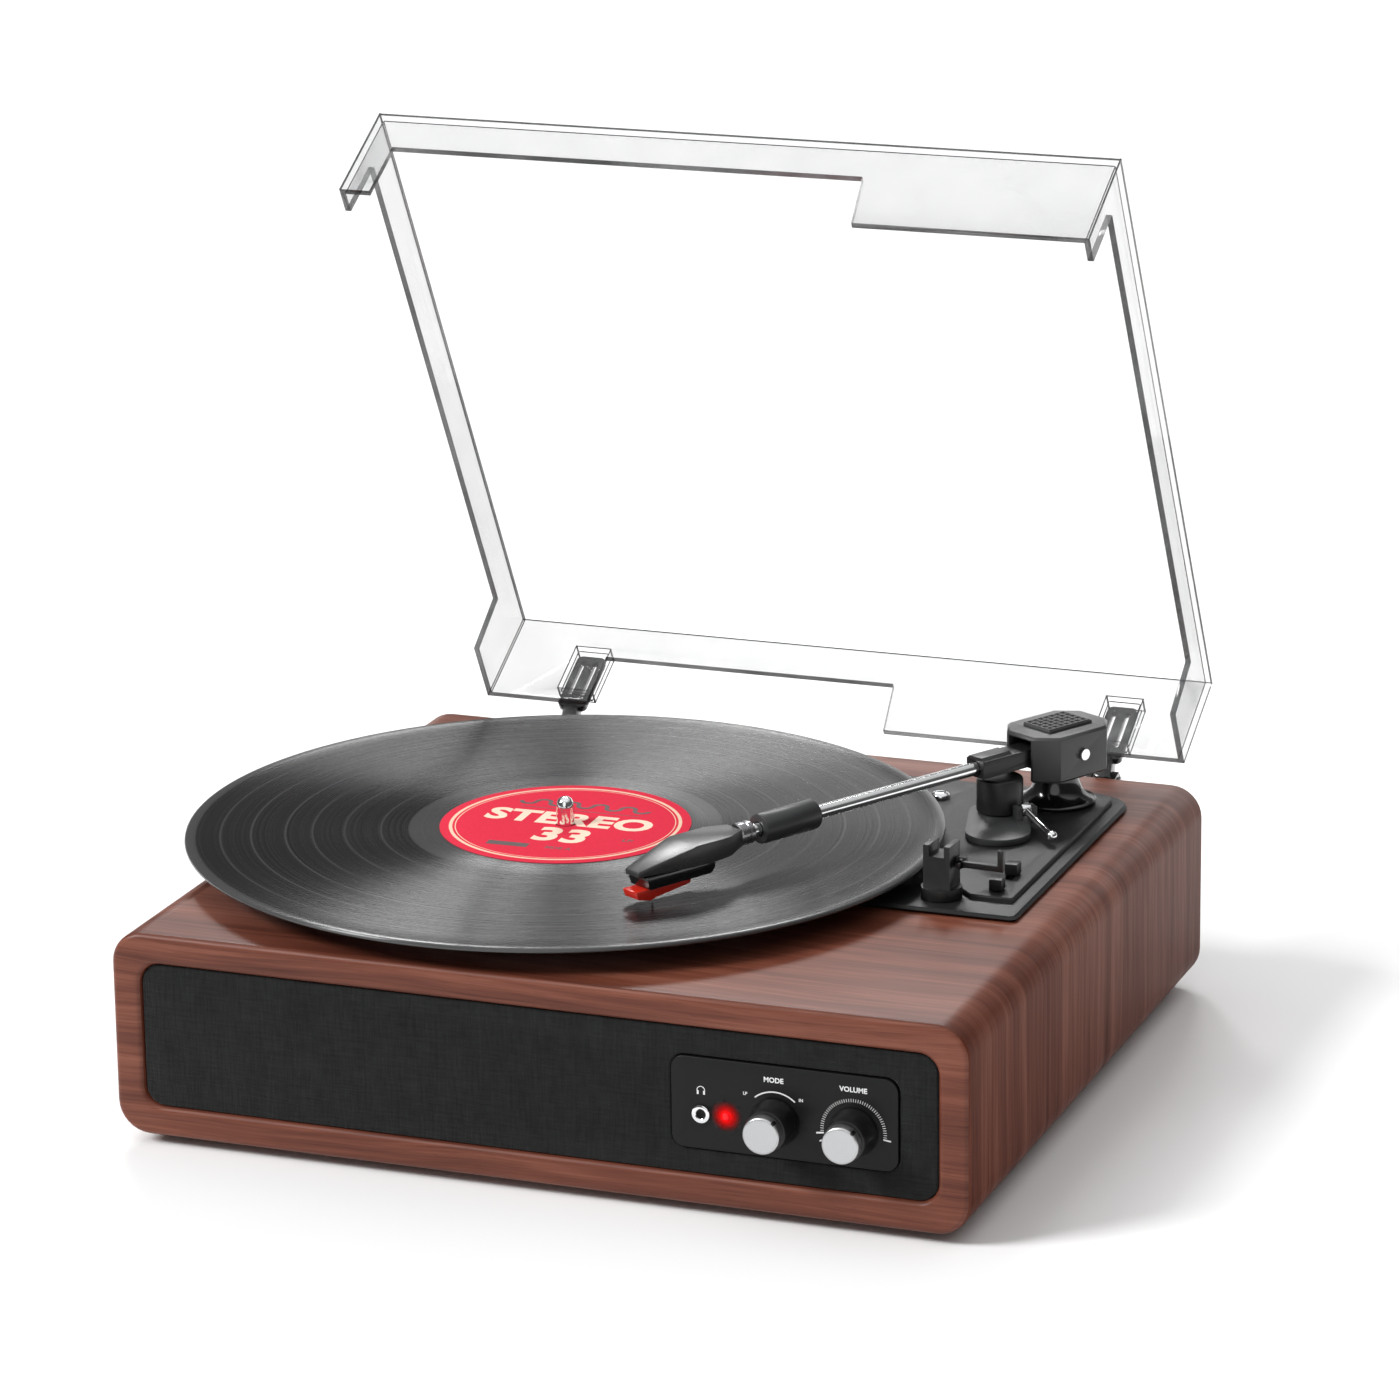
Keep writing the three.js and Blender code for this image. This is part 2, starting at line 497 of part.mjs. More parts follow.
function transitScrew() {
  const { radius, dome, insetX, insetY } = TRANSIT;
  const z = deckZ + DECK.flange + SEAT_GAP;
  const profile = [[0, z - 9], [radius - 2, z - 9], [radius - 2, z], [radius, z], [radius * 0.94, z + dome * 0.45],
    [radius * 0.6, z + dome * 0.85], [0, z + dome]];
  return part('transit_screw', turned(profile, 24, PLINTH.width - insetX, PLINTH.depth - insetY), chrome);
}

/** A slide knob: a square cap on a stem that runs in its slot. */
function slideKnob(name, setting) {
  const { cap, capHeight, stemWidth, stemLength } = SLIDE;
  const y = rest.y - setting.beforeRest;
  const z = platformZ + SEAT_GAP;
  const box = (w, l, z0, z1) => block(slideX - w / 2, slideX + w / 2, y - l / 2, y + l / 2, z0, z1);
  return part(name, join(box(cap, cap, z, z + capHeight), box(stemWidth, stemLength, z - 10, z + 1)), black);
}

// ---------------------------------------------------------------- drive

function bearingHousing() {
  const { radius, flangeRadius, flange, floor } = BEARING;
  const z1 = deckZ - DECK.wellDepth - DECK.wellFloor - SEAT_GAP;
  const bore = SPINDLE.radius + SEAT_GAP;
  const z0 = deckZ - SPINDLE.depth - SEAT_GAP - floor;
  const profile = [[0, z0], [radius, z0], [radius, z1 - flange], [flangeRadius, z1 - flange], [flangeRadius, z1],
    [bore, z1], [bore, z0 + floor], [0, z0 + floor]];
  return part('bearing_housing', turned(profile, COARSE, SPINDLE.x, SPINDLE.y), brass);
}

function driveMotor() {
  const { radius, length, shaftBore } = MOTOR;
  const z1 = deckZ - DECK.wellDepth - DECK.wellFloor - SEAT_GAP;
  const z0 = z1 - length;
  const profile = [[0, z0], [radius - 1, z0], [radius, z0 + 1], [radius, z1], [shaftBore, z1], [shaftBore, z1 - 12],
    [0, z1 - 12]];
  return part('drive_motor', turned(profile, COARSE, motorX, motorY), steel);
}

function motorPulley() {
  const r = BELT.pulleyRadius;
  const low = deckZ - BELT.drop;
  const shaftEnd = deckZ - DECK.wellDepth - DECK.wellFloor - SEAT_GAP - 10;
  const profile = [[0, shaftEnd], [MOTOR.shaft, shaftEnd], [MOTOR.shaft, low - 1.4], [r + 0.8, low - 1.4],
    [r + 0.8, low - 0.6], [r, low - 0.4], [r, low + 4.4], [r + 0.8, low + 4.6], [r + 0.8, low + 5.4], [0, low + 5.4]];
  return part('motor_pulley', turned(profile, 16, motorX, motorY), brass);
}

function driveBelt() {
  const { rimRadius, pulleyRadius, centres, width, thickness, drop } = BELT;
  const band = stadium(rimRadius + SEAT_GAP + thickness, pulleyRadius + SEAT_GAP + thickness, centres);
  band.holes.push(stadium(rimRadius + SEAT_GAP, pulleyRadius + SEAT_GAP, centres));
  const settings = { depth: width, curveSegments: 20, bevelEnabled: false };
  const geometry = new THREE.ExtrudeGeometry(band, settings).rotateZ(beltAngle);
  return part('drive_belt', solid(geometry.translate(SPINDLE.x, SPINDLE.y, deckZ - drop)), rubber);
}

function platter() {
  const { radius, thickness, skirt, rimWall, hubRadius, hubDrop, top } = PLATTER;
  const [z1, web] = [deckZ + top, deckZ + top - thickness];
  const bore = SPINDLE.radius + 0.2;
  const beltLow = deckZ - BELT.drop - 1.5;
  const [rim0, rim1] = [BELT.rimRadius - BELT.rimWall, BELT.rimRadius];
  const profile = [
    [bore, deckZ - hubDrop], [hubRadius, deckZ - hubDrop], [hubRadius, web], [rim0, web], [rim0, beltLow],
    [rim1, beltLow], [rim1, web], [radius - rimWall, web], [radius - rimWall, z1 - skirt], [radius, z1 - skirt],
    [radius, z1 - 0.8], [radius - 0.8, z1], [bore, z1]];
  return part('platter', turned(profile, FINE, SPINDLE.x, SPINDLE.y), aluminium);
}

function spindle() {
  const { radius, proud, depth } = SPINDLE;
  const z1 = recordTop + proud;
  const profile = [[0, deckZ - depth], [radius, deckZ - depth], [radius, z1 - 4], [radius * 0.86, z1 - 1.6],
    [radius * 0.5, z1 - 0.3], [0, z1]];
  return part('spindle', turned(profile, COARSE, SPINDLE.x, SPINDLE.y), chrome);
}

function slipmat() {
  const z = deckZ + PLATTER.top + 0.2;
  const [r0, r1] = [SPINDLE.radius + 0.4, SLIPMAT.radius];
  const profile = [[r0, z], [r1, z], [r1, z + SLIPMAT.thickness], [r0, z + SLIPMAT.thickness]];
  return part('slipmat', turned(profile, FINE, SPINDLE.x, SPINDLE.y), felt);
}

function record() {
  const { radius, thickness, grooveRecess, rim, labelRadius } = RECORD;
  const [z0, z1] = [recordTop - thickness, recordTop];
  const bore = SPINDLE.radius + 0.2;
  const inner = labelRadius + 4;
  const profile = [
    [bore, z0], [radius - 0.5, z0], [radius, z0 + 0.5], [radius, z1 - 0.5], [radius - 0.5, z1], [radius - rim + 1, z1],
    [radius - rim, z1 - grooveRecess], [inner + 1, z1 - grooveRecess], [inner, z1], [bore, z1]];
  return part('record', turned(profile, 60, SPINDLE.x, SPINDLE.y), vinyl);
}

function recordLabel() {
  const z = recordTop + 0.1;
  const [r0, r1, h] = [SPINDLE.radius + 0.4, RECORD.labelRadius, RECORD.labelThickness];
  return part('record_label', turned([[r0, z], [r1, z], [r1, z + h], [r0, z + h]], FINE, SPINDLE.x, SPINDLE.y), paper);
}

// ---------------------------------------------------------------- tonearm
// Pieces of the arm are made about its pivot: the arm points along -Y and z = 0 is the plinth's underside.

function tonearmBase() {
  const { radius, neckRadius, height, shaftRadius, shaftClearance } = ARM_BASE;
  const z0 = platformZ + SEAT_GAP;
  const [neck, bore] = [deckZ + height - 2.5, shaftRadius + shaftClearance];
  const profile = [
    [bore, z0], [radius, z0], [radius, z0 + 1.5], [radius - 2.6, z0 + 2.8], [neckRadius + 1.4, z0 + 5.4],
    [neckRadius, neck], [neckRadius, deckZ + height], [bore, deckZ + height]];
  return part('tonearm_base', turned(profile, 28, pivot.x, pivot.y), gloss);
}

const cheekOuter = HOOD.width / 2 - HOOD.wall - SEAT_GAP;
const axleHole = ARM.axleRadius + SEAT_GAP;

function armYoke() {
  const z0 = deckZ + ARM_BASE.height + SEAT_GAP;
  const plateZ = deckZ + HOOD.bottom;
  const plateTop = plateZ + YOKE.plate;
  const shaft = rod(ARM_BASE.shaftRadius, platformZ + 2, plateZ + 1);
  const collar = rod(ARM_BASE.neckRadius - 1, z0, plateZ + 1);
  const plate = block(-cheekOuter, cheekOuter, -YOKE.halfLength, YOKE.halfLength, plateZ, plateTop);
  const cheeks = [-1, 1].map((side) => {
    const [a, b] = [side * cheekOuter, side * (cheekOuter - YOKE.cheek)];
    const [low, high] = [Math.min(a, b), Math.max(a, b)];
    return block(low, high, -YOKE.halfLength, YOKE.halfLength, plateTop - 1, deckZ + YOKE.cheekTop);
  });
  const bore = rodX(axleHole, -cheekOuter - 1, cheekOuter + 1, 0, axisZ, 16);
  return part('arm_yoke', cut(join(shaft, collar, plate, ...cheeks), bore), black);
}

/** The hood's eight-sided outline, shrunk by a wall. */
function hoodShape(inset) {
  const [w, f, r] = [HOOD.width / 2 - inset, HOOD.front - inset, HOOD.rear - inset];
  const c = HOOD.chamfer - inset * 0.6;
  return outline([[-w, -f + c], [-w + c, -f], [w - c, -f], [w, -f + c], [w, r - c], [w - c, r], [-w + c, r], [-w, r - c]]);
}

function armHood() {
  const { wall, bottom, top, mouth, pad, front, width } = HOOD;
  const [z0, roof, z1] = [deckZ + bottom, deckZ + top - wall * 0.9, deckZ + top];
  const shell = cut(raised(hoodShape(0), z0, z1, 1), raised(hoodShape(wall), z0 - 3, roof));
  const grip = raised(roundedRect(16, 24, 1, 0, 0.5), z1 - 0.5, z1 + pad, 0.3);
  const opening = block(-mouth / 2, mouth / 2, -front - 2, -front + wall * 2, z0 - 1, roof);
  const bore = rodX(axleHole, -width, width, 0, axisZ, 16);
  return part('arm_hood', cut(join(shell, grip), opening, bore), gloss);
}

function liftAxle() {
  const half = HOOD.width / 2;
  const heads = [-1, 1].map((side) => {
    const ends = [side * (half + SEAT_GAP), side * (half + SEAT_GAP + 1)];
    return rodX(ARM.axleHead, Math.min(...ends), Math.max(...ends), 0, axisZ, 20);
  });
  return part('lift_axle', join(rodX(ARM.axleRadius, -half - 0.6, half + 0.6, 0, axisZ, 16), ...heads), chrome);
}

function armHolder() {
  const { holderWidth, holderHeight, holderFront, holderRear, tubeRadius, tubeStart } = ARM;
  const [w, h] = [holderWidth / 2, holderHeight / 2];
  const bar = block(-w, w, -holderFront, holderRear, axisZ - h, axisZ + h);
  const ridge = deep(outline([[-w, 0], [w, 0], [w - 1.6, 1.4], [-w + 1.6, 1.4]]), -holderFront, -HOOD.front - 9);
  const socket = rodY(tubeRadius + SEAT_GAP, -holderFront - 1, -tubeStart + SEAT_GAP, 0, axisZ, 20);
  const bore = rodX(axleHole, -holderWidth, holderWidth, 0, axisZ, 16);
  return part('arm_holder', cut(join(bar, ridge.translate(0, 0, axisZ + h - 0.2)), socket, bore), black);
}

function armCounterweight() {
  const y0 = ARM.holderRear + SEAT_GAP;
  return part('arm_counterweight', rodY(ARM.weightRadius, y0, y0 + ARM.weightLength, 0, axisZ), steel);
}

/** A ring on the arm tube, from a distance out to a distance further out. */
function armRing(name, outer, from, to, material) {
  const bore = ARM.tubeRadius + SEAT_GAP;
  const profile = [[bore, -to], [outer - 0.5, -to], [outer, -to + 0.5], [outer, -from - 0.5], [outer - 0.5, -from],
    [bore, -from]];
  return part(name, turnedAlongY(profile, COARSE, 0, axisZ), material);
}

function armTube() {
  const { tubeRadius, tubeWall, tubeStart, collarBeforeTip } = ARM;
  const [from, to] = [-(armLength - collarBeforeTip + 5), -tubeStart];
  const inner = tubeRadius - tubeWall;
  const profile = [[inner, from], [tubeRadius, from], [tubeRadius, to], [inner, to]];
  return part('arm_tube', turnedAlongY(profile, 24, 0, axisZ), chrome);
}

const headStart = armLength - ARM.collarBeforeTip + ARM.collarLength + SEAT_GAP;

function headshell() {
  const { length, width, neck, tip, above, below, tipHeight } = HEAD;
  const [y1, y0] = [-headStart, -headStart - length];
  const plan = outline([[-neck / 2, y1], [-width / 2, y1 - 9], [-width / 2, y0 + 24], [-tip / 2, y0], [tip / 2, y0],
    [width / 2, y0 + 24], [width / 2, y1 - 9], [neck / 2, y1]]);
  const side = outline([[y1 + 1, axisZ - below + 1.6], [y1 - 14, axisZ - below], [y0 - 1, axisZ - below],
    [y0 - 1, axisZ - below + tipHeight], [y0 + 26, axisZ + above], [y1 + 1, axisZ + above]]);
  const body = raised(plan, axisZ - 20, axisZ + 20).intersect(wide(side, -width, width));
  return part('headshell', body, black);
}

const styleTipZ = recordTop - RECORD.grooveRecess + STYLUS.clearance;
const stylusTop = styleTipZ + STYLUS.height;

function cartridge() {
  const { length, width, aheadOfTip } = CARTRIDGE;
  const y0 = -armLength - aheadOfTip;
  const [z0, z1] = [stylusTop + SEAT_GAP, axisZ - HEAD.below - SEAT_GAP];
  const side = outline([[y0 + 1.5, z0], [y0 + length - 2, z0], [y0 + length, z0 + 2], [y0 + length, z1], [y0, z1]]);
  return part('cartridge', wide(side, -width / 2, width / 2), black);
}

function stylus() {
  const { length, width, height, aheadOfTip } = STYLUS;
  const [y0, y1] = [-armLength - aheadOfTip, -armLength - aheadOfTip + length];
  const top = stylusTop;
  const side = outline([[y0, top], [y0 + 1, top - height * 0.5], [y0 + 7, top - height * 0.75],
    [-armLength - 1, top - height * 0.62], [y1, top - height * 0.3], [y1, top]]);
  const needle = turned([[0, styleTipZ], [0.9, styleTipZ + 2.4], [0.9, top - 1], [0, top - 1]], 12, 0, -armLength);
  return part('stylus', join(wide(side, -width / 2, width / 2), needle), red);
}

/** The whole arm: the part that swings, and inside it the part that also lifts. */
function tonearm() {
  const swing = new THREE.Group();
  swing.position.set(pivot.x, pivot.y, 0);
  swing.rotation.z = -THREE.MathUtils.degToRad(ARM.playAngle);
  swing.add(armYoke(), armHood(), liftAxle());
  const collarStart = armLength - ARM.collarBeforeTip;
  swing.add(
    armHolder(), armCounterweight(), armTube(),
    armRing('arm_sleeve', ARM.sleeveRadius, sleeveStart, sleeveStart + ARM.sleeveLength, grey),
    armRing('arm_collar', ARM.collarRadius, collarStart, collarStart + ARM.collarLength, aluminium),
    headshell(), cartridge(), stylus());
  return swing;
}

/** The arm rest and its locking clip, square to the parked arm. */
function armRest() {
  const { discRadius, discHeight, post, height, slotWidth, slotDepth } = REST;
  const z0 = deckZ + DECK.flange + SEAT_GAP;
  const [half, top] = [post / 2, deckZ + height];
  const disc = rod(discRadius, z0, z0 + discHeight, 0, 0, 32);
  const column = block(-half, half, -half, half, z0 + 1, top);
  const slot = block(-slotWidth / 2, slotWidth / 2, -post, post, top - slotDepth, top + 1);
  const clipX = half + CLIP.pivotOut;
  const pin = rodY(1, -3, 3, clipX, deckZ + CLIP.pivotZ, 16);
  const lug = block(half - 1, clipX + 1.4, 1.6, 3.6, deckZ + CLIP.pivotZ - 2, deckZ + CLIP.pivotZ + 2);
  return part('arm_rest', cut(join(disc, column, lug, pin), slot), black);
}

function armClip() {
  const { pivotZ, pivotOut, length, thickness, bar, hook } = CLIP;
  const z = deckZ + pivotZ;
  const x = REST.post / 2 + pivotOut;
  const b = bar / 2;
  const arm = outline([[x, z - b], [x + length + bar, z - b], [x + length + bar, z + hook], [x + length, z + hook + 1],
    [x + length, z + b], [x, z + b]]);
  const body = join(deep(arm, -thickness / 2, thickness / 2), rodY(1.9, -thickness / 2, thickness / 2, x, z, 20));
  return part('arm_clip', cut(body, rodY(1.3, -thickness, thickness, x, z, 16)), black);
}

function restGroup() {
  const group = new THREE.Group();
  group.position.set(rest.x, rest.y, 0);
  group.rotation.z = -parked;
  group.add(armRest(), armClip());
  return group;
}

// ---------------------------------------------------------------- cue lift

const play = THREE.MathUtils.degToRad(ARM.playAngle);
const cueX = pivot.x - CUE.padReach * Math.sin(play);
const cueY = pivot.y - CUE.padReach * Math.cos(play);
const leverTurn = Math.atan2(LEVER.endY, LEVER.endX);

function cueBase() {
  const { baseRadius, lobeX, lobeY, lobeRadius, baseThickness, guideRadius, guideTop } = CUE;
  const z0 = platformZ + SEAT_GAP;
  const lobe = new THREE.ExtrudeGeometry(stadium(baseRadius, lobeRadius, Math.hypot(lobeX, lobeY)),
    { depth: baseThickness, curveSegments: 14, bevelEnabled: false });
  const plate = solid(lobe.rotateZ(Math.atan2(lobeY, lobeX)).translate(0, 0, z0));
  const guide = rod(guideRadius, z0 + 1, deckZ + guideTop, 0, 0, 24);
  const armAway = rod(ARM_BASE.radius + 1, z0 - 1, z0 + 30, pivot.x - cueX, pivot.y - cueY, 40);
  const ears = [-1, 1].map((side) => {
    const y = side * 3.2;
    const ear = block(-2.6, 2.6, y - 1, y + 1, z0 + 1, deckZ + LEVER.height + 1.6);
    return ear.rotate([0, 0, THREE.MathUtils.radToDeg(leverTurn)]).translate(LEVER.offsetX, LEVER.offsetY, 0);
  });
  const pin = rodY(0.9, -3, 3, 0, deckZ + LEVER.height, 12).rotate([0, 0, THREE.MathUtils.radToDeg(leverTurn)])
    .translate(LEVER.offsetX, LEVER.offsetY, 0);
  return part('cue_base', join(cut(plate, armAway), guide, ...ears, pin), grey);
}

function cueLiftPad() {
  const { padRadius, padTop, wall, guideRadius } = CUE;
  const z0 = platformZ + SEAT_GAP + CUE.baseThickness + SEAT_GAP;
  const [z1, inner] = [deckZ + padTop, guideRadius + SEAT_GAP];
  const profile = [[inner, z0], [padRadius, z0], [padRadius, z1 - 0.8], [padRadius - 0.8, z1], [0, z1],
    [0, z1 - wall], [inner, z1 - wall]];
  return part('cue_lift_pad', turned(profile, 32), black);
}

function cueLever() {
  const reach = Math.hypot(LEVER.endX, LEVER.endY);
  const drop = LEVER.endHeight - LEVER.height;
  const path = new THREE.LineCurve3(new THREE.Vector3(1.6, 0, 0), new THREE.Vector3(reach, 0, drop));
  const round = new THREE.Shape().absarc(0, 0, LEVER.radius, 0, Math.PI * 2);
  const settings = { steps: 1, curveSegments: 8, bevelEnabled: false, extrudePath: path };
  const bar = solid(new THREE.ExtrudeGeometry(round, settings));
  const hub = rodY(LEVER.hub, -1.8, 1.8, 0, 0, 20);
  const knobEnd = solid(new THREE.SphereGeometry(LEVER.radius + 0.7, 10, 6)).translate(reach, 0, drop);
  const group = new THREE.Group();
  group.position.set(LEVER.offsetX, LEVER.offsetY, deckZ + LEVER.height);
  group.rotation.z = leverTurn;
  group.add(part('cue_lever', cut(join(bar, hub, knobEnd), rodY(1.2, -3, 3, 0, 0, 16)), chrome));
  return group;
}

function cueGroup() {
  const group = new THREE.Group();
  group.position.set(cueX, cueY, 0);
  group.add(cueBase(), cueLiftPad(), cueLever());
  return group;
}

// ---------------------------------------------------------------- dust cover
// Made closed, about the hinge line: y = 0 and z = 0 at the pins.

const hingeY = PLINTH.depth + HINGE.pivotY;
const hingeZ = PLINTH.height + HINGE.pivotZ;

/** A wall's side view: full depth between its ends except for a shallow stretch from a to b. */
function wallShape(start, end, a, b, slantA, slantB, top, bottom) {
  const shallow = top - LID.shallow;
  return outline([[start, bottom], [a - slantA, bottom], [a, shallow], [b, shallow], [b + slantB, bottom],
    [end, bottom], [end, top], [start, top]]);
}

/** How far along a wall its front leg may reach before it meets the record. */
function legEnd(start, wanted, along, across) {
  const reach = RECORD.radius + LID.recordClearance;
  const chord = Math.sqrt(Math.max(0, reach * reach - across * across));
  return Math.max(start + 4, Math.min(start + wanted, along - chord));
}

function dustCover() {
  const { height, wall, lift, insetLeft, insetFront } = LID;
  const [x0, x1] = [insetLeft, insetLeft + lidWidth];
  const [y0, y1] = [insetFront, insetFront + lidDepth];
  const [z0, z1] = [PLINTH.height + lift, PLINTH.height + lift + height];
  const frontLeg = legEnd(x0, LID.frontLeg, SPINDLE.x, SPINDLE.y - y0 - wall);
  const sideLeg = legEnd(y0, LID.sideFrontLeg, SPINDLE.y, SPINDLE.x - x0 - wall);
  const front = wallShape(x0, x1, frontLeg, x1 - LID.frontRight, 0, LID.slant, z1, z0);
  const rear = wallShape(x0, x1, x0 + LID.rearLeft, x1 - LID.rearRight, 0, LID.slant, z1, z0);
  const side = wallShape(y0, y1, sideLeg, y1 - LID.sideRear, 0, LID.slant, z1, z0);
  const tray = join(
    block(x0, x1, y0, y1, z1 - wall, z1),
    deep(front, y0, y0 + wall), deep(rear, y1 - wall, y1),
    wide(side, x0, x0 + wall), wide(side, x1 - wall, x1),
    ...[-1, 1].map((n) => hingePocket(hingeX(n), y1, z0)));
  return part('dust_cover', tray.translate(0, -hingeY, -hingeZ), acrylic);
}

const hingeX = (side) => insetCentre() + side * HINGE.spread;
const insetCentre = () => LID.insetLeft + lidWidth / 2 + HINGE.centre;
const bladeY = PLINTH.depth + 0.5 - LID.insetRear + HINGE.bladeOut;

/** The clear sleeve on the cover's rear wall that a hinge blade slides into. */
function hingePocket(x, y, z) {
  const half = HINGE.width / 2 + SEAT_GAP;
  const wall = HINGE.pocketWall;
  const outer = bladeY + HINGE.blade + SEAT_GAP;
  const sleeve = block(x - half - wall, x + half + wall, y - 0.5, outer + wall, z + HINGE.neck + 2, z + HINGE.pocketLength);
  return cut(sleeve, block(x - half, x + half, bladeY - SEAT_GAP, outer, z, z + HINGE.pocketLength - wall));
}

/** A hinge blade: three bars joined at both ends, on a neck that carries the knuckle. */
function hingeBlade(name, side) {
  const x = hingeX(side);
  const half = HINGE.width / 2;
  const z0 = PLINTH.height + LID.lift + 0.5;
  const z1 = z0 + HINGE.bladeLength;
  const frame = roundedRect(HINGE.width, z1 - z0, 2.4, x, (z0 + z1) / 2);
  const slot = (u) => deep(roundedRect(1.9, z1 - z0 - 10, 0.9, x + u, (z0 + z1) / 2 + 2), bladeY - 1, bladeY + 4);
  const plate = cut(deep(frame, bladeY, bladeY + HINGE.blade), slot(-2.9), slot(2.9));
  const reach = 3;
  const neck = outline([[bladeY, z0 + HINGE.neck], [bladeY + HINGE.blade, z0 + HINGE.neck], [hingeY + reach, hingeZ + 1.5],
    [hingeY + reach, hingeZ - 1], [hingeY - 2.6, hingeZ - 1.5], [bladeY, z0 - 0.2]]);
  const knuckleHalf = half - HINGE.ear - SEAT_GAP;
  const body = join(plate, wide(neck, x - knuckleHalf, x + knuckleHalf),
    rodX(HINGE.knuckle, x - knuckleHalf, x + knuckleHalf, hingeY, hingeZ, 24));
  const hole = rodX(HINGE.pinRadius + SEAT_GAP, x - half, x + half, hingeY, hingeZ, 16);
  return part(name, cut(body, hole).translate(0, -hingeY, -hingeZ), gloss);
}

function hingeBracket(name, side) {
  const x = hingeX(side);
  const half = HINGE.width / 2;
  const face = PLINTH.depth + SEAT_GAP;
  const plate = block(x - half, x + half, face, face + HINGE.plate, deckZ + HINGE.plateBottom, deckZ + HINGE.plateTop);
  const ears = [-1, 1].map((n) => {
    const [a, b] = [x + n * half, x + n * (half - HINGE.ear)];
    const shape = outline([[face + 1, hingeZ + 1.8], [hingeY, hingeZ + HINGE.knuckle], [hingeY + HINGE.knuckle, hingeZ],
      [hingeY, hingeZ - HINGE.knuckle], [face + 1, hingeZ - 9]]);
    return wide(shape, Math.min(a, b), Math.max(a, b));
  });
  const hole = rodX(HINGE.pinRadius + SEAT_GAP, x - half - 1, x + half + 1, hingeY, hingeZ, 16);
  return part(name, cut(join(plate, ...ears), hole), gloss);
}

function hingePin(name, side) {
  const half = HINGE.width / 2;
  return part(name, rodX(HINGE.pinRadius, hingeX(side) - half - 1, hingeX(side) + half + 1, hingeY, hingeZ, 16), steel);
}

function coverGroup() {
  const group = new THREE.Group();
  group.position.set(0, hingeY, hingeZ);
  group.rotation.x = -THREE.MathUtils.degToRad(LID.angle);
  group.add(dustCover(), hingeBlade('hinge_blade_left', -1), hingeBlade('hinge_blade_right', 1));
  return group;
}

// ---------------------------------------------------------------- assembly

const turntable = new THREE.Group();
turntable.add(
  plinthCase(), ...feet(), frontBaffle(), grilleCloth(), speaker('speaker_left', 0), speaker('speaker_right', 1),
  controlPanel(), headphoneJack(), powerLed(), controlBody('mode_switch', PANEL.modeX),
  controlBody('volume_pot', PANEL.volumeX), ...knob('mode_knob', PANEL.modeX), ...knob('volume_knob', PANEL.volumeX),
  amplifierBoard(), rearPanel(), audioSockets(), powerInlet(), powerRocker(),
  deckPlate(), transitScrew(), slideKnob('speed_switch_knob', SPEED), slideKnob('auto_stop_knob', AUTO_STOP),
  bearingHousing(), driveMotor(), motorPulley(), driveBelt(), platter(), spindle(), slipmat(), record(), recordLabel(),
  tonearmBase(), tonearm(), restGroup(), cueGroup(),
  coverGroup(), hingeBracket('hinge_bracket_left', -1), hingeBracket('hinge_bracket_right', 1),
  hingePin('hinge_pin_left', -1), hingePin('hinge_pin_right', 1));

// The origin is the bottom centre of the whole object's box.
turntable.updateMatrixWorld(true);
const box = new THREE.Box3().setFromObject(turntable, true);
const centre = box.getCenter(new THREE.Vector3());
turntable.position.set(-centre.x, -centre.y, -box.min.z);

export default turntable;
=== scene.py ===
"""A belt-drive turntable with a wooden plinth, a tonearm and a clear dust cover, in a plain studio."""
from math import atan2, cos, pi, radians, sin

import bmesh
import bpy
from mathutils import Matrix, Vector


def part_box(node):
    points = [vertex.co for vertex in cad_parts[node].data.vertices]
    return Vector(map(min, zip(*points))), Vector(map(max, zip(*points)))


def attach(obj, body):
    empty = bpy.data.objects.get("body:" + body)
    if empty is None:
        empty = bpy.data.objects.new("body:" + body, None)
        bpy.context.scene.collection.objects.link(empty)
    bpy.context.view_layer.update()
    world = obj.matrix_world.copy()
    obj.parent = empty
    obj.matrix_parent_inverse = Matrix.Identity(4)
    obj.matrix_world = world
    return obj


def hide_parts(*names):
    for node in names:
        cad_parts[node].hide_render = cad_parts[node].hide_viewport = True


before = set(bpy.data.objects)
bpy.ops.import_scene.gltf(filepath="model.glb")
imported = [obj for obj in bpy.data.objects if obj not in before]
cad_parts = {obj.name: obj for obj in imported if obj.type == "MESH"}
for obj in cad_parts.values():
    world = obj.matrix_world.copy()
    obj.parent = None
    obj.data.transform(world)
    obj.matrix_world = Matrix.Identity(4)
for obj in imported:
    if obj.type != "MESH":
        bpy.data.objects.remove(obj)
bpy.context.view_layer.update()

bl_info = {
    "name": "Turntable Maker",
    "version": (1, 0, 0),
    "blender": (4, 5, 0),
    "location": "View3D > Sidebar > Turntable",
    "description": "Builds the pieces and finishes of a turntable with a clear dust cover",
    "category": "Add Mesh",
}

MM = 0.001


# ---------------------------------------------------------------- places taken from the frame

def middle(node):
    """The centre of a CAD node's box."""
    low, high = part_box(node)
    return (low + high) / 2


PIVOT = middle("tonearm_base")
TUBE = middle("arm_tube")
ARM_TURN = atan2(TUBE.x - PIVOT.x, PIVOT.y - TUBE.y)
AXIS_Z = TUBE.z
SPINDLE = middle("spindle")
PANEL_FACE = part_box("control_panel")[0].y
COVER_OPEN = radians(61)
COVER_REAR = Vector((0, cos(COVER_OPEN), -sin(COVER_OPEN)))     # the way the raised cover's rear wall faces
PRINT = 0.02                                                    # thickness of printed ink, in millimetres
PANEL_WINDOW = (90.0, 37.0)                                     # the cloth's cut-out, in millimetres
TOP_COAT = 0.48                                                 # how much satin coat the top of the veneer has


# ---------------------------------------------------------------- node building

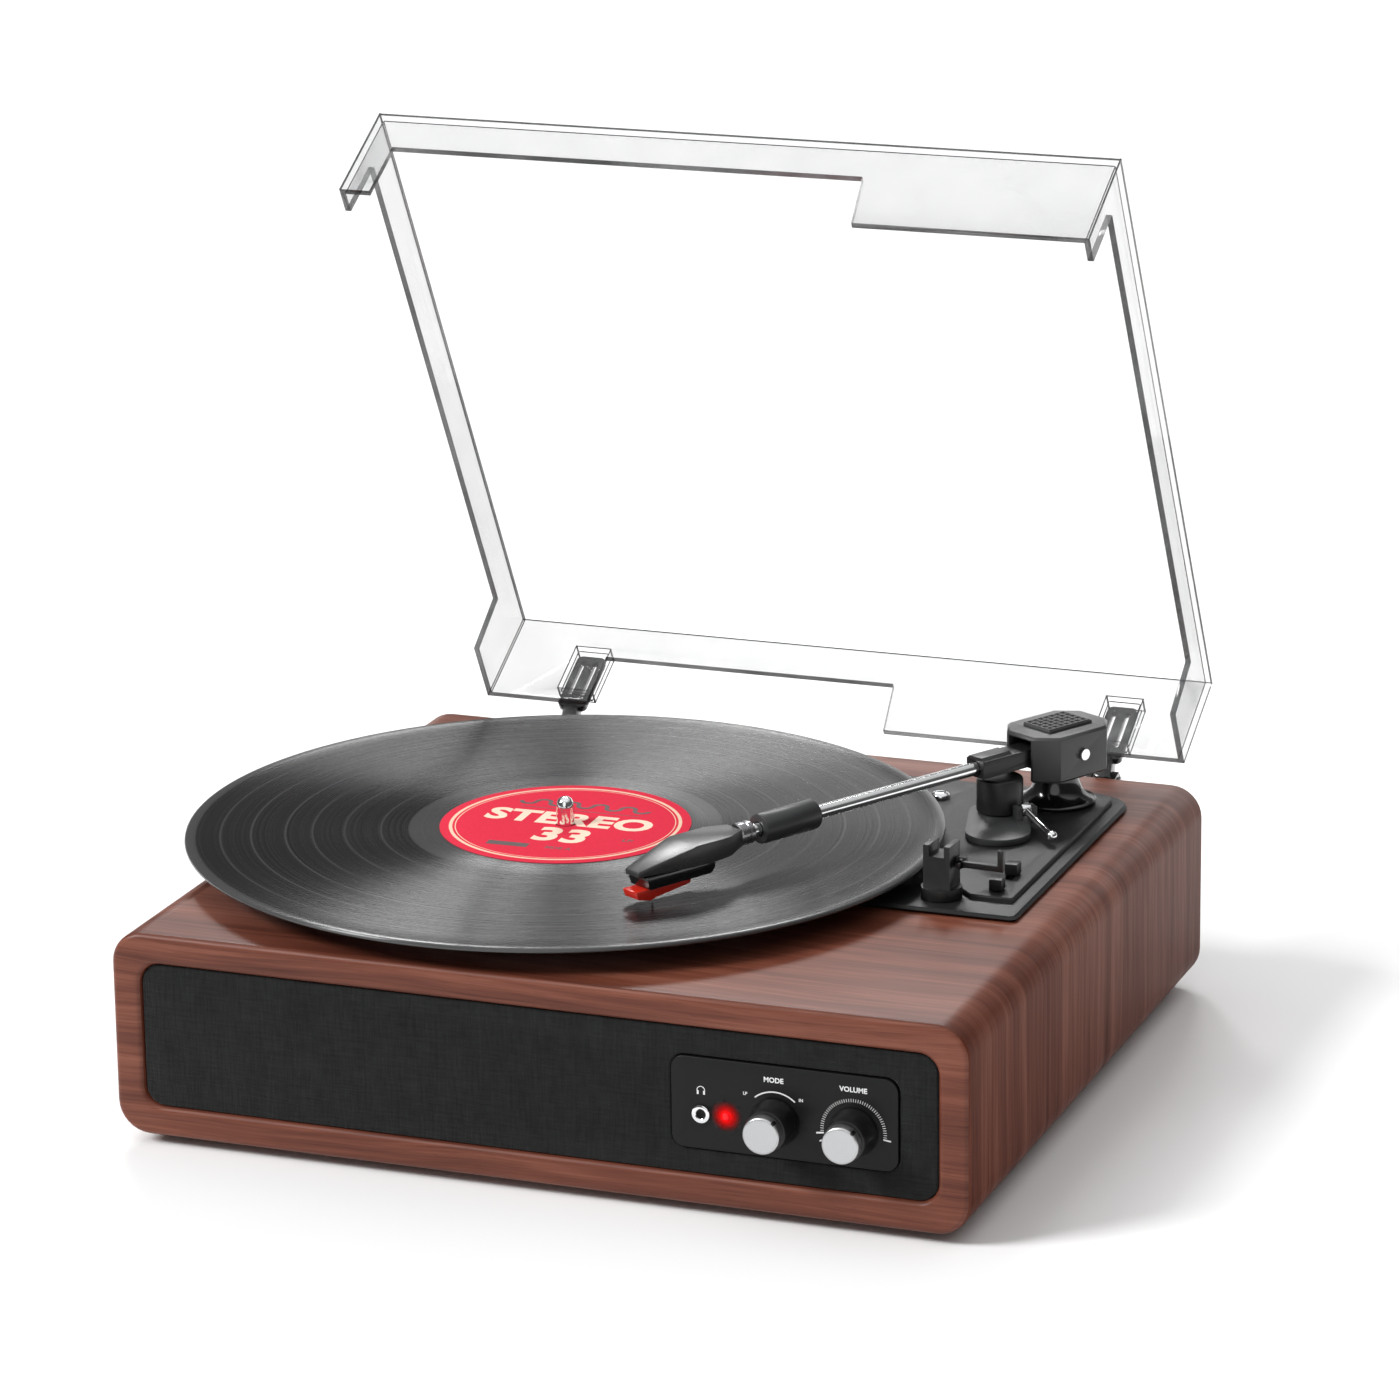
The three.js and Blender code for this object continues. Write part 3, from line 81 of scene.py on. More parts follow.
def put(tree, kind, sockets=None, **settings):
    """Adds a node, with its settings and with values or links on its input sockets."""
    made = tree.nodes.new(kind)
    for key, value in settings.items():
        setattr(made, key, value)
    for key, value in (sockets or {}).items():
        if isinstance(value, bpy.types.NodeSocket):
            tree.links.new(value, made.inputs[key])
        else:
            made.inputs[key].default_value = value
    return made


def reckon(tree, operation, *values):
    """One step of arithmetic."""
    return put(tree, "ShaderNodeMath", dict(enumerate(values)), operation=operation).outputs[0]


def mixed(tree, share, first, second, mode="MIX"):
    """Two colours mixed by a share."""
    sockets = {0: share, 6: first, 7: second}
    return put(tree, "ShaderNodeMix", sockets, data_type="RGBA", blend_type=mode).outputs[2]


def spread(tree, value, low, high, to_low=0.0, to_high=1.0):
    """A value moved from one range to another, and held at its ends."""
    return put(tree, "ShaderNodeMapRange", {0: value, 1: low, 2: high, 3: to_low, 4: to_high}).outputs[0]


def parts_of(tree, vector):
    """The X, Y and Z of a vector."""
    return put(tree, "ShaderNodeSeparateXYZ", {0: vector}).outputs


def ramp(tree, value, stops, sharp=False):
    """A colour picked from stops of place and colour."""
    made = put(tree, "ShaderNodeValToRGB", {0: value})
    made.color_ramp.interpolation = "CONSTANT" if sharp else "LINEAR"
    elements = made.color_ramp.elements
    while len(elements) < len(stops):
        elements.new(0.5)
    for element, (place, colour) in zip(elements, stops):
        element.position = place
        element.color = (*colour, 1.0) if len(colour) == 3 else colour
    return made.outputs[0]


def noise(tree, vector, scale, detail=3.0, roughness=0.5):
    sockets = {"Vector": vector, "Scale": scale, "Detail": detail, "Roughness": roughness}
    return put(tree, "ShaderNodeTexNoise", sockets).outputs[0]


def stretched(tree, vector, x, y, z):
    """A vector with each of its directions scaled."""
    sockets = {0: vector, 1: (x, y, z)}
    return put(tree, "ShaderNodeVectorMath", sockets, operation="MULTIPLY").outputs[0]


def centred(tree, centre=(0, 0, 0), turn=0.0):
    """Object coordinates measured from a centre, turned about the vertical."""
    where = put(tree, "ShaderNodeTexCoord").outputs["Object"]
    sockets = {"Vector": where, "Location": centre, "Rotation": (0, 0, turn)}
    return put(tree, "ShaderNodeMapping", sockets, vector_type="TEXTURE").outputs[0]


def effect(name, inputs, outputs):
    """An empty node group with named inputs and outputs."""
    tree = bpy.data.node_groups.new(name, "ShaderNodeTree")
    for label, kind, default in inputs:
        made = tree.interface.new_socket(name=label, in_out="INPUT", socket_type=kind)
        if default is not None:
            made.default_value = default
    for label, kind in outputs:
        tree.interface.new_socket(name=label, in_out="OUTPUT", socket_type=kind)
    return tree, tree.nodes.new("NodeGroupInput").outputs, tree.nodes.new("NodeGroupOutput").inputs


def placed(tree, group, **sockets):
    """A shared effect placed in a material with its own values."""
    made = tree.nodes.new("ShaderNodeGroup")
    made.node_tree = bpy.data.node_groups[group]
    for key, value in sockets.items():
        socket = made.inputs[key.replace("_", " ")]
        if isinstance(value, bpy.types.NodeSocket):
            tree.links.new(value, socket)
        else:
            socket.default_value = value
    return made.outputs


FLOAT, VECTOR, COLOUR = "NodeSocketFloat", "NodeSocketVector", "NodeSocketColor"


def wood_grain():
    """Long wavy streaks, fibres and pores, with X of the vector along the grain and Y across it."""
    tree, given, out = effect("Wood Grain", [
        ("Vector", VECTOR, None), ("Dark", COLOUR, (0.1, 0.03, 0.02, 1)), ("Middle", COLOUR, (0.2, 0.08, 0.05, 1)),
        ("Light", COLOUR, (0.35, 0.15, 0.1, 1)), ("Contrast", FLOAT, 1.0)],
        [("Color", COLOUR), ("Height", FLOAT), ("Roughness", FLOAT)])
    vector = given["Vector"]
    drift = noise(tree, stretched(tree, vector, 5, 14, 1), 1, 2)
    sway = reckon(tree, "MULTIPLY", reckon(tree, "SUBTRACT", drift, 0.5), 0.016)
    bent = put(tree, "ShaderNodeVectorMath", {0: vector, 1: put(tree, "ShaderNodeCombineXYZ", {1: sway}).outputs[0]},
               operation="ADD").outputs[0]
    broad = noise(tree, stretched(tree, bent, 4, 75, 1), 1, 3, 0.6)
    streak = noise(tree, stretched(tree, bent, 9, 330, 1), 1, 4, 0.65)
    fibre = noise(tree, stretched(tree, bent, 30, 1500, 1), 1, 2, 0.6)
    pores = noise(tree, stretched(tree, bent, 110, 2600, 1), 1, 1, 0.5)
    tone = reckon(tree, "ADD", reckon(tree, "MULTIPLY", broad, 0.42), reckon(tree, "MULTIPLY", streak, 0.4))
    tone = reckon(tree, "ADD", tone, reckon(tree, "MULTIPLY", fibre, 0.18))
    pushed = reckon(tree, "MULTIPLY_ADD", reckon(tree, "SUBTRACT", tone, 0.5), given["Contrast"], 0.5)
    lower = mixed(tree, spread(tree, pushed, 0.34, 0.5), given["Dark"], given["Middle"])
    colour = mixed(tree, spread(tree, pushed, 0.5, 0.66), lower, given["Light"])
    pore = spread(tree, pores, 0.66, 0.74)
    colour = mixed(tree, reckon(tree, "MULTIPLY", pore, 0.45), colour, given["Dark"])
    tree.links.new(colour, out["Color"])
    tree.links.new(reckon(tree, "SUBTRACT", tone, reckon(tree, "MULTIPLY", pore, 0.35)), out["Height"])
    tree.links.new(spread(tree, tone, 0.35, 0.65, 0.44, 0.34), out["Roughness"])


def moulded_grain():
    """The fine texture of moulded plastic, with slow differences in its sheen and tone."""
    tree, given, out = effect("Moulded Grain", [
        ("Vector", VECTOR, None), ("Color", COLOUR, (0.02, 0.02, 0.02, 1)), ("Grain", FLOAT, 2500.0),
        ("Roughness", FLOAT, 0.45), ("Variation", FLOAT, 0.12)],
        [("Color", COLOUR), ("Roughness", FLOAT), ("Height", FLOAT)])
    fine = noise(tree, given["Vector"], given["Grain"], 2)
    slow = noise(tree, given["Vector"], 26.0, 3)
    lift = reckon(tree, "MULTIPLY", reckon(tree, "SUBTRACT", slow, 0.5), given["Variation"])
    tree.links.new(reckon(tree, "ADD", given["Roughness"], reckon(tree, "ADD", lift, reckon(
        tree, "MULTIPLY", reckon(tree, "SUBTRACT", fine, 0.5), given["Variation"]))), out["Roughness"])
    scaled = reckon(tree, "MULTIPLY_ADD", lift, 3.0, 1.0)
    grey = put(tree, "ShaderNodeCombineColor", {0: scaled, 1: scaled, 2: scaled}).outputs[0]
    tree.links.new(mixed(tree, 1.0, given["Color"], grey, "MULTIPLY"), out["Color"])
    tree.links.new(fine, out["Height"])


def woven_cloth():
    """Crossed threads of uneven thickness, X and Y of the vector lying in the cloth."""
    tree, given, out = effect("Woven Cloth", [
        ("Vector", VECTOR, None), ("Dark", COLOUR, (0.01, 0.01, 0.01, 1)), ("Light", COLOUR, (0.04, 0.04, 0.04, 1)),
        ("Threads", FLOAT, 900.0)], [("Color", COLOUR), ("Height", FLOAT)])
    drift = put(tree, "ShaderNodeVectorMath", {0: put(tree, "ShaderNodeTexNoise", {
        "Vector": given["Vector"], "Scale": 60.0, "Detail": 2.0}).outputs["Color"], 1: (0.0011, 0.0011, 0)},
        operation="MULTIPLY").outputs[0]
    moved = put(tree, "ShaderNodeVectorMath", {0: given["Vector"], 1: drift}, operation="ADD").outputs[0]
    x, y, _ = parts_of(tree, moved)
    warp = reckon(tree, "SINE", reckon(tree, "MULTIPLY", x, reckon(tree, "MULTIPLY", given["Threads"], 2 * pi)))
    weft = reckon(tree, "SINE", reckon(tree, "MULTIPLY", y, reckon(tree, "MULTIPLY", given["Threads"], 2 * pi)))
    cross = reckon(tree, "MULTIPLY_ADD", reckon(tree, "MULTIPLY", warp, weft), 0.5, 0.5)
    slub_x = noise(tree, stretched(tree, moved, 90, 900, 1), 1, 2, 0.6)
    slub_y = noise(tree, stretched(tree, moved, 900, 90, 1), 1, 2, 0.6)
    slub = reckon(tree, "MULTIPLY", reckon(tree, "ADD", slub_x, slub_y), 0.5)
    crease = noise(tree, stretched(tree, moved, 130, 40, 1), 1, 3, 0.6)
    share = reckon(tree, "ADD", reckon(tree, "MULTIPLY", cross, 0.3), reckon(tree, "MULTIPLY", spread(
        tree, slub, 0.36, 0.64), 0.5))
    share = reckon(tree, "ADD", share, reckon(tree, "MULTIPLY", spread(tree, crease, 0.35, 0.65), 0.2))
    tree.links.new(mixed(tree, share, given["Dark"], given["Light"]), out["Color"])
    tree.links.new(share, out["Height"])


def turned_lines():
    """Rings about the vertical axis through the vector's origin, as left by a lathe or a pressing."""
    tree, given, out = effect("Turned Lines", [
        ("Vector", VECTOR, None), ("Rings", FLOAT, 3000.0)], [("Radius", FLOAT), ("Fine", FLOAT), ("Coarse", FLOAT)])
    flat = stretched(tree, given["Vector"], 1, 1, 0)
    radius = put(tree, "ShaderNodeVectorMath", {0: flat}, operation="LENGTH").outputs["Value"]
    along = put(tree, "ShaderNodeCombineXYZ", {0: radius}).outputs[0]
    tree.links.new(radius, out["Radius"])
    tree.links.new(noise(tree, along, given["Rings"], 2, 0.7), out["Fine"])
    tree.links.new(noise(tree, along, reckon(tree, "MULTIPLY", given["Rings"], 0.16), 3, 0.6), out["Coarse"])


# ---------------------------------------------------------------- finishes

FINISHES = {}


def finish(name, **constants):
    """A new material, its tree and its shader, with the shader's constants set on its own sockets."""
    made = bpy.data.materials.new(name)
    made.use_nodes = True
    FINISHES[name] = made
    shader = made.node_tree.nodes["Principled BSDF"]
    for key, value in constants.items():
        shader.inputs[key.replace("_", " ")].default_value = value
    return made, made.node_tree, shader


def feed(tree, shader, **links):
    """Links values to the shader's sockets."""
    for key, value in links.items():
        tree.links.new(value, shader.inputs[key.replace("_", " ")])


def bump(tree, shader, height, distance, strength=1.0):
    made = put(tree, "ShaderNodeBump", {"Height": height, "Distance": distance, "Strength": strength})
    feed(tree, shader, Normal=made.outputs[0])


def moulded(name, colour, roughness, grain=2500.0, variation=0.12, depth=0.00004, **constants):
    """Moulded plastic or rubber."""
    made, tree, shader = finish(name, **constants)
    look = placed(tree, "Moulded Grain", Vector=centred(tree), Color=(*colour, 1), Grain=grain, Roughness=roughness,
                  Variation=variation)
    feed(tree, shader, Base_Color=look["Color"])
    feed(tree, shader, Roughness=look["Roughness"])
    bump(tree, shader, look["Height"], depth, 0.5)
    return made


def metal(name, colour, roughness, variation=0.08, grain=900.0, depth=0.00001, **constants):
    """Plain, plated or cast metal, a little smeared by handling."""
    return moulded(name, colour, roughness, grain, variation, depth, Metallic=1.0, **constants)


def lathe_metal(name, colour, roughness, centre, rings, upright=True, depth=0.00001, **constants):
    """Metal with turning marks about a centre."""
    made, tree, shader = finish(name, Metallic=1.0, **constants)
    where = centred(tree, centre)
    if not upright:
        where = put(tree, "ShaderNodeVectorRotate", {"Vector": where, "Axis": (1, 0, 0), "Angle": pi / 2}).outputs[0]
    marks = placed(tree, "Turned Lines", Vector=where, Rings=rings)
    tone = mixed(tree, spread(tree, marks["Fine"], 0.3, 0.7), [c * 0.82 for c in colour] + [1], [*colour, 1])
    feed(tree, shader, Base_Color=tone)
    feed(tree, shader, Roughness=spread(tree, marks["Coarse"], 0.3, 0.7, roughness - 0.06, roughness + 0.08))
    bump(tree, shader, marks["Fine"], depth, 0.6)
    return made


def walnut(name, front, look):
    """Reddish brown veneer: its grain runs along the front frame, and wraps from the top down the sides."""
    made, tree, shader = finish(name, Specular_IOR_Level=0.28 if front else 0.03, Coat_Roughness=0.4)
    if not front:
        upward = parts_of(tree, put(tree, "ShaderNodeNewGeometry").outputs["Normal"])[2]
        feed(tree, shader, Coat_Weight=spread(tree, upward, 0.3, 0.8, 0.0, TOP_COAT))
    x, y, z = parts_of(tree, centred(tree))
    if front:
        along, across, slice_ = x, z, reckon(tree, "MULTIPLY", y, 0.2)
    else:
        along, across, slice_ = reckon(tree, "SUBTRACT", x, z), y, 0.37
    vector = put(tree, "ShaderNodeCombineXYZ", {0: along, 1: across, 2: slice_}).outputs[0]
    grain = placed(tree, "Wood Grain", Vector=vector, Dark=(*look.wood_dark, 1), Middle=(*look.wood_middle, 1),
                   Light=(*look.wood_light, 1), Contrast=look.wood_contrast)
    feed(tree, shader, Base_Color=grain["Color"])
    feed(tree, shader, Roughness=grain["Roughness"])
    bump(tree, shader, grain["Height"], 0.0001, 0.35)
    return made


def grille_fabric():
    made, tree, shader = finish("grille_fabric", Sheen_Weight=0.15, Sheen_Roughness=0.5, Roughness=0.9,
                                Specular_IOR_Level=0.15)
    x, _, z = parts_of(tree, centred(tree))
    vector = put(tree, "ShaderNodeCombineXYZ", {0: x, 1: z}).outputs[0]
    weave = placed(tree, "Woven Cloth", Vector=vector, Dark=(0.0015, 0.0016, 0.0016, 1),
                   Light=(0.015, 0.0162, 0.0158, 1), Threads=850.0)
    feed(tree, shader, Base_Color=weave["Color"])
    bump(tree, shader, weave["Height"], 0.0004, 0.8)
    return made


def mat_felt():
    made, tree, shader = finish("mat_felt", Sheen_Weight=0.3, Roughness=0.95)
    where = centred(tree)
    weave = placed(tree, "Woven Cloth", Vector=where, Dark=(0.006, 0.006, 0.007, 1), Light=(0.02, 0.02, 0.022, 1),
                   Threads=1400.0)
    feed(tree, shader, Base_Color=weave["Color"])
    bump(tree, shader, weave["Height"], 0.0003, 0.7)
    return made


def record_vinyl():
    """Black vinyl: fine grooves that catch the light in wedges, and quiet bands between tracks and a smooth centre,
    painted lighter grey as a painted sheen.
    """
    made, tree, shader = finish("record_vinyl", Anisotropic=0.9, Anisotropic_Rotation=0.25, Specular_IOR_Level=0.55)
    where = centred(tree, SPINDLE)
    rings = placed(tree, "Turned Lines", Vector=where, Rings=5200.0)
    radius = reckon(tree, "MULTIPLY", rings["Radius"], 1000.0 / 151.0)
    grooved, quiet = (0, 0, 0), (1, 1, 1)
    stops = [(0.41, quiet), (0.413, grooved)]
    for place in (0.485, 0.58, 0.665, 0.735, 0.825, 0.905):
        stops += [(place - 0.004, grooved), (place, quiet), (place + 0.004, grooved)]
    stops += [(0.968, grooved), (0.972, quiet)]
    smooth = ramp(tree, radius, stops)
    bands = spread(tree, rings["Coarse"], 0.32, 0.68)
    base = mixed(tree, bands, (0.0022, 0.0022, 0.0024, 1), (0.0065, 0.0065, 0.007, 1))
    # Painted sheen: the quiet bands and the centre get a lighter grey than the grooved vinyl.
    feed(tree, shader, Base_Color=mixed(tree, smooth, base, (0.05, 0.05, 0.051, 1)))
    rough = reckon(tree, "MULTIPLY", bands, 0.1)
    feed(tree, shader, Roughness=reckon(tree, "ADD", rough, reckon(tree, "MULTIPLY_ADD", smooth, -0.01, 0.21)))
    feed(tree, shader, Tangent=put(tree, "ShaderNodeTangent", direction_type="RADIAL", axis="Z").outputs[0])
    bump(tree, shader, reckon(tree, "MULTIPLY", rings["Coarse"], reckon(tree, "SUBTRACT", 1.0, smooth)), 0.00001, 0.04)
    return made


def label_paper(look):
    """A coral label with two cream rings and a light paper fibre."""
    made, tree, shader = finish("label_paper", Specular_IOR_Level=0.0)
    where = centred(tree, SPINDLE)
    rings = placed(tree, "Turned Lines", Vector=where, Rings=2000.0)
    radius = reckon(tree, "MULTIPLY", rings["Radius"], 20.0)
    coral, cream = tuple(look.label_coral), tuple(look.label_cream)
    stops = [(0.0, coral), (0.868, cream), (0.878, coral), (0.898, cream), (0.922, coral)]
    paper = noise(tree, where, 900.0, 3)
    fibre = ramp(tree, paper, [(0.2, (0.88, 0.88, 0.88)), (0.8, (1, 1, 1))])
    tone = mixed(tree, 1.0, ramp(tree, radius, stops, sharp=True), fibre, "MULTIPLY")
    feed(tree, shader, Base_Color=tone)
    feed(tree, shader, Roughness=spread(tree, paper, 0.3, 0.7, 0.5, 0.62))
    bump(tree, shader, paper, 0.00003, 0.4)
    return made


def print_ink(name, colour):
    """Screen-printed ink, a little uneven."""
    return moulded(name, colour, 0.55, 1800.0, 0.1, 0.00001)


def from_lamp(tree):
    """Distance from the lamp's middle, in the plane of the panel."""
    x, _, z = parts_of(tree, centred(tree, middle("power_led")))
    flat = put(tree, "ShaderNodeCombineXYZ", {0: x, 1: z}).outputs[0]
    return put(tree, "ShaderNodeVectorMath", {0: flat}, operation="LENGTH").outputs["Value"]


def lamp_red():
    """The lit lens, brightest in its middle."""
    made, tree, shader = finish("lamp_red", Roughness=0.35, Specular_IOR_Level=0.2, Emission_Strength=0.4)
    reach = from_lamp(tree)
    glow = ramp(tree, reckon(tree, "MULTIPLY", reach, 500.0), [(0.0, (1.0, 0.02, 0.02)), (1.0, (0.7, 0.0, 0.008))])
    feed(tree, shader, Base_Color=glow)
    feed(tree, shader, Emission_Color=glow)
    return made


def lamp_halo():
    """The red glow round the lamp on the panel, fading outwards."""
    made, tree, shader = finish("lamp_halo", Roughness=0.6, Emission_Strength=0.55, Specular_IOR_Level=0.0)
    reach = from_lamp(tree)
    fade = reckon(tree, "POWER", spread(tree, reach, 0.0012, 0.0066, 1.0, 0.0), 1.9)
    glow = mixed(tree, fade, (0.25, 0.0, 0.0, 1), (0.8, 0.01, 0.01, 1))
    feed(tree, shader, Base_Color=glow)
    feed(tree, shader, Emission_Color=glow)
    feed(tree, shader, Alpha=reckon(tree, "MULTIPLY", fade, 0.85))
    return made


def clear_acrylic(name, tint, low=(0.5, 0.52, 0.53, 1), high=(0.66, 0.67, 0.68, 1)):
    """Clear sheet: nearly invisible face on, its grey painted in more strongly where it is seen edge on as a painted
    reflection, with a faint film of dust.
    """
    made, tree, shader = finish(name, Roughness=0.06, IOR=1.49)
    dust = noise(tree, centred(tree), 38.0, 4, 0.6)
    feed(tree, shader, Base_Color=mixed(tree, dust, low, high))
    # Painted reflection: the sheet grows more opaque and grey towards grazing angles.
    facing = put(tree, "ShaderNodeLayerWeight", {"Blend": 0.35}).outputs["Facing"]
    film = reckon(tree, "MULTIPLY_ADD", dust, tint * 0.6, tint * 0.7)
    feed(tree, shader, Alpha=reckon(tree, "MULTIPLY_ADD", reckon(tree, "POWER", facing, 3.0), 0.3, film))
    return made


def acrylic_edge(look):
    """The cut edges and corners of the clear sheet, painted dark as painted shade where a clear edge gathers the dark
    round it.
    """
    made, tree, shader = finish("acrylic_edge", Roughness=0.12, IOR=1.49)
    shade = noise(tree, centred(tree), 22.0, 3, 0.6)
    tone = mixed(tree, spread(tree, shade, 0.35, 0.65), (0.008, 0.0085, 0.009, 1), (0.045, 0.047, 0.05, 1))
    feed(tree, shader, Base_Color=tone)
    feed(tree, shader, Alpha=spread(tree, shade, 0.3, 0.7, look.edge_shade_strength, look.edge_shade_strength * 0.85))
    return made


def circuit_board():
    """Green solder mask with darker tracks under it."""
    made, tree, shader = finish("circuit_board", Roughness=0.4, Coat_Weight=0.2)
    cells = put(tree, "ShaderNodeTexVoronoi", {"Vector": centred(tree), "Scale": 260.0}, distance="MANHATTAN",
                feature="F1").outputs[0]
    mask = ramp(tree, cells, [(0.25, (0.02, 0.12, 0.05)), (0.32, (0.01, 0.07, 0.03)), (0.6, (0.02, 0.1, 0.04))])
    feed(tree, shader, Base_Color=mask)
    bump(tree, shader, cells, 0.0001, 0.4)
    return made


def make_finishes(look):
    """Every finish of the turntable."""
    for group in (wood_grain, moulded_grain, woven_cloth, turned_lines):
        group()
    walnut("walnut_front", True, look)
    walnut("walnut_wrap", False, look)
    for plain in (grille_fabric, mat_felt, record_vinyl, lamp_red, lamp_halo, circuit_board):
        plain()
    label_paper(look)
    clear_acrylic("clear_acrylic", look.cover_tint)
    # The walls are a darker, more opaque copy of the clear sheet: painted shade.
    clear_acrylic("acrylic_wall_painted_shade", look.wall_shade_tint, (0.2, 0.208, 0.21, 1), (0.32, 0.327, 0.33, 1))
    # The cover's cut edges get painted shade.
    acrylic_edge(look)
    moulded("baffle_board", (0.05, 0.04, 0.032), 0.85, 900.0, 0.1, 0.0002)
    moulded("panel_gloss", (0.004, 0.0042, 0.0043), 0.42, 1600.0, 0.1, 0.00002, Specular_IOR_Level=0.25)
    # Painted shade: flat black for the transit screw's slot and between the hood's ribs, and partly the jack's own
    # black plastic in its hole.
    moulded("panel_groove", (0.003, 0.003, 0.003), 0.7, 1600.0)
    moulded("black_plastic", (0.008, 0.0083, 0.0085), 0.4, 2400.0, 0.14, 0.00005)
    moulded("deck_plastic", (0.012, 0.0123, 0.0126), 0.42, 1500.0, 0.16, 0.0001, Specular_IOR_Level=0.25)
    moulded("gloss_black", (0.006, 0.006, 0.0062), 0.17, 500.0, 0.08, 0.00001, Coat_Weight=0.5, Coat_Roughness=0.06)
    moulded("hood_black", (0.036, 0.0365, 0.037), 0.3, 1800.0, 0.12, 0.00003)
    moulded("grey_plastic", (0.03, 0.031, 0.032), 0.4, 1800.0, 0.12, 0.00005)
    moulded("knob_black", (0.004, 0.004, 0.0043), 0.38, 1700.0, 0.1, 0.00003)
    moulded("foot_rubber", (0.012, 0.012, 0.012), 0.8, 1500.0, 0.1, 0.0001)
    moulded("belt_rubber", (0.01, 0.01, 0.01), 0.7, 1500.0, 0.1, 0.00005)
    moulded("speaker_cone", (0.02, 0.02, 0.02), 0.8, 700.0, 0.1, 0.0002)
    moulded("stylus_red", (0.62, 0.02, 0.008), 0.3, 700.0, 0.1, 0.00002, Coat_Weight=0.3)
    moulded("socket_red", (0.5, 0.02, 0.02), 0.4)
    moulded("socket_white", (0.75, 0.75, 0.73), 0.4)
    moulded("hood_rib", (0.075, 0.076, 0.078), 0.4, 1800.0, 0.1, 0.00003)
    print_ink("ink_white", (0.72, 0.73, 0.73))
    print_ink("ink_cream", tuple(look.label_cream))
    print_ink("ink_dark", (0.045, 0.012, 0.014))
    metal("chrome", (0.86, 0.87, 0.88), 0.1, 0.06)
    metal("zinc_steel", (0.5, 0.51, 0.52), 0.34, 0.16)
    metal("brass", (0.6, 0.42, 0.16), 0.3, 0.12)
    metal("collar_metal", (0.3, 0.3, 0.31), 0.28, 0.12)
    lathe_metal("platter_metal", (0.6, 0.61, 0.62), 0.3, SPINDLE, 2600.0, depth=0.00003)
    lathe_metal("mode_cap_metal", (0.6, 0.61, 0.62), 0.36, middle("mode_knob_cap"), 3800.0, upright=False)
    lathe_metal("volume_cap_metal", (0.6, 0.61, 0.62), 0.36, middle("volume_knob_cap"), 3800.0, upright=False)


# ---------------------------------------------------------------- piece building

def keep(name, bm, finishes, body, stands_for=(), smooth=35.0):
    """Turns a bmesh into a named piece that rides on a body."""
    mesh = bpy.data.meshes.new(name)
    bm.to_mesh(mesh)
    bm.free()
    for label in ([finishes] if isinstance(finishes, str) else finishes):
        mesh.materials.append(FINISHES[label])
    mesh.shade_smooth()
    mesh.set_sharp_from_angle(angle=radians(smooth))
    piece = bpy.data.objects.new(name, mesh)
    bpy.context.scene.collection.objects.link(piece)
    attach(piece, body)
    if stands_for:
        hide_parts(*stands_for)
    return piece


def sharp_edges(bm, angle=35.0, chosen=None):
    """The edges where two faces meet at more than an angle."""
    found = []
    for edge in bm.edges:
        if len(edge.link_faces) == 2 and edge.calc_face_angle(0.0) > radians(angle):
            if chosen is None or chosen(edge):
                found.append(edge)
    return found


def ease(bm, edges, width, rounds=2, clamp=True):
    """Rounds off edges."""
    bmesh.ops.bevel(bm, geom=edges, offset=width, offset_type="OFFSET", segments=rounds, profile=0.5, affect="EDGES",
                    clamp_overlap=clamp, material=-1)


def merged(node):
    """A CAD node's shape with its corners joined and its flat faces whole."""
    bm = bmesh.new()
    bm.from_mesh(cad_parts[node].data)
    bmesh.ops.remove_doubles(bm, verts=bm.verts, dist=2e-6)
    bmesh.ops.dissolve_limit(bm, angle_limit=radians(0.6), verts=bm.verts, edges=bm.edges)
    return bm


def eased(name, node, finishes, body, width=0.3, rounds=2, angle=35.0, smooth=35.0):
    """A CAD node's shape with its sharp edges rounded, in its own finish."""
    bm = merged(node)
    ease(bm, sharp_edges(bm, angle), width * MM, rounds, clamp=True)
    return keep(name, bm, finishes, body, (node,), smooth)


def lathe(profile, steps=96):
    """A round solid about Z from radius and height in millimetres, spun about the origin."""
    bm = bmesh.new()
    corners = [bm.verts.new((r * MM, 0, z * MM)) for r, z in profile]
    lines = [bm.edges.new(pair) for pair in zip(corners, corners[1:])]
    bmesh.ops.spin(bm, geom=corners + lines, cent=(0, 0, 0), axis=(0, 0, 1), angle=2 * pi, steps=steps, use_merge=True)
    bmesh.ops.remove_doubles(bm, verts=bm.verts, dist=1e-7)
    bmesh.ops.recalc_face_normals(bm, faces=bm.faces)
    return bm


def moved(bm, place, turn=Matrix.Identity(3), verts=None):
    """Turns and then moves a bmesh, or some of its vertices."""
    verts = verts or bm.verts
    bmesh.ops.rotate(bm, verts=verts, cent=(0, 0, 0), matrix=turn)
    bmesh.ops.translate(bm, verts=verts, vec=place)
    return bm


TO_BACK = Matrix.Rotation(-pi / 2, 3, "X")          # what points up, points to the back
ALONG_ARM = Matrix.Rotation(ARM_TURN, 3, "Z") @ Matrix.Rotation(pi / 2, 3, "X")   # what points up, points along the arm


def slab(width, depth, height, ease_by=0.0, rounds=2):
    """A block about the origin, in millimetres, with its edges rounded."""
    bm = bmesh.new()
    bmesh.ops.create_cube(bm, size=1.0)
    bmesh.ops.scale(bm, vec=(width * MM, depth * MM, height * MM), verts=bm.verts)
    if ease_by:
        ease(bm, bm.edges[:], ease_by * MM, rounds)
    return bm


def joined(*parts):
    """Several bmeshes as one."""
    whole = bmesh.new()
    for part in parts:
        mesh = bpy.data.meshes.new("part")
        part.to_mesh(mesh)
        part.free()
        whole.from_mesh(mesh)
        bpy.data.meshes.remove(mesh)
    return whole


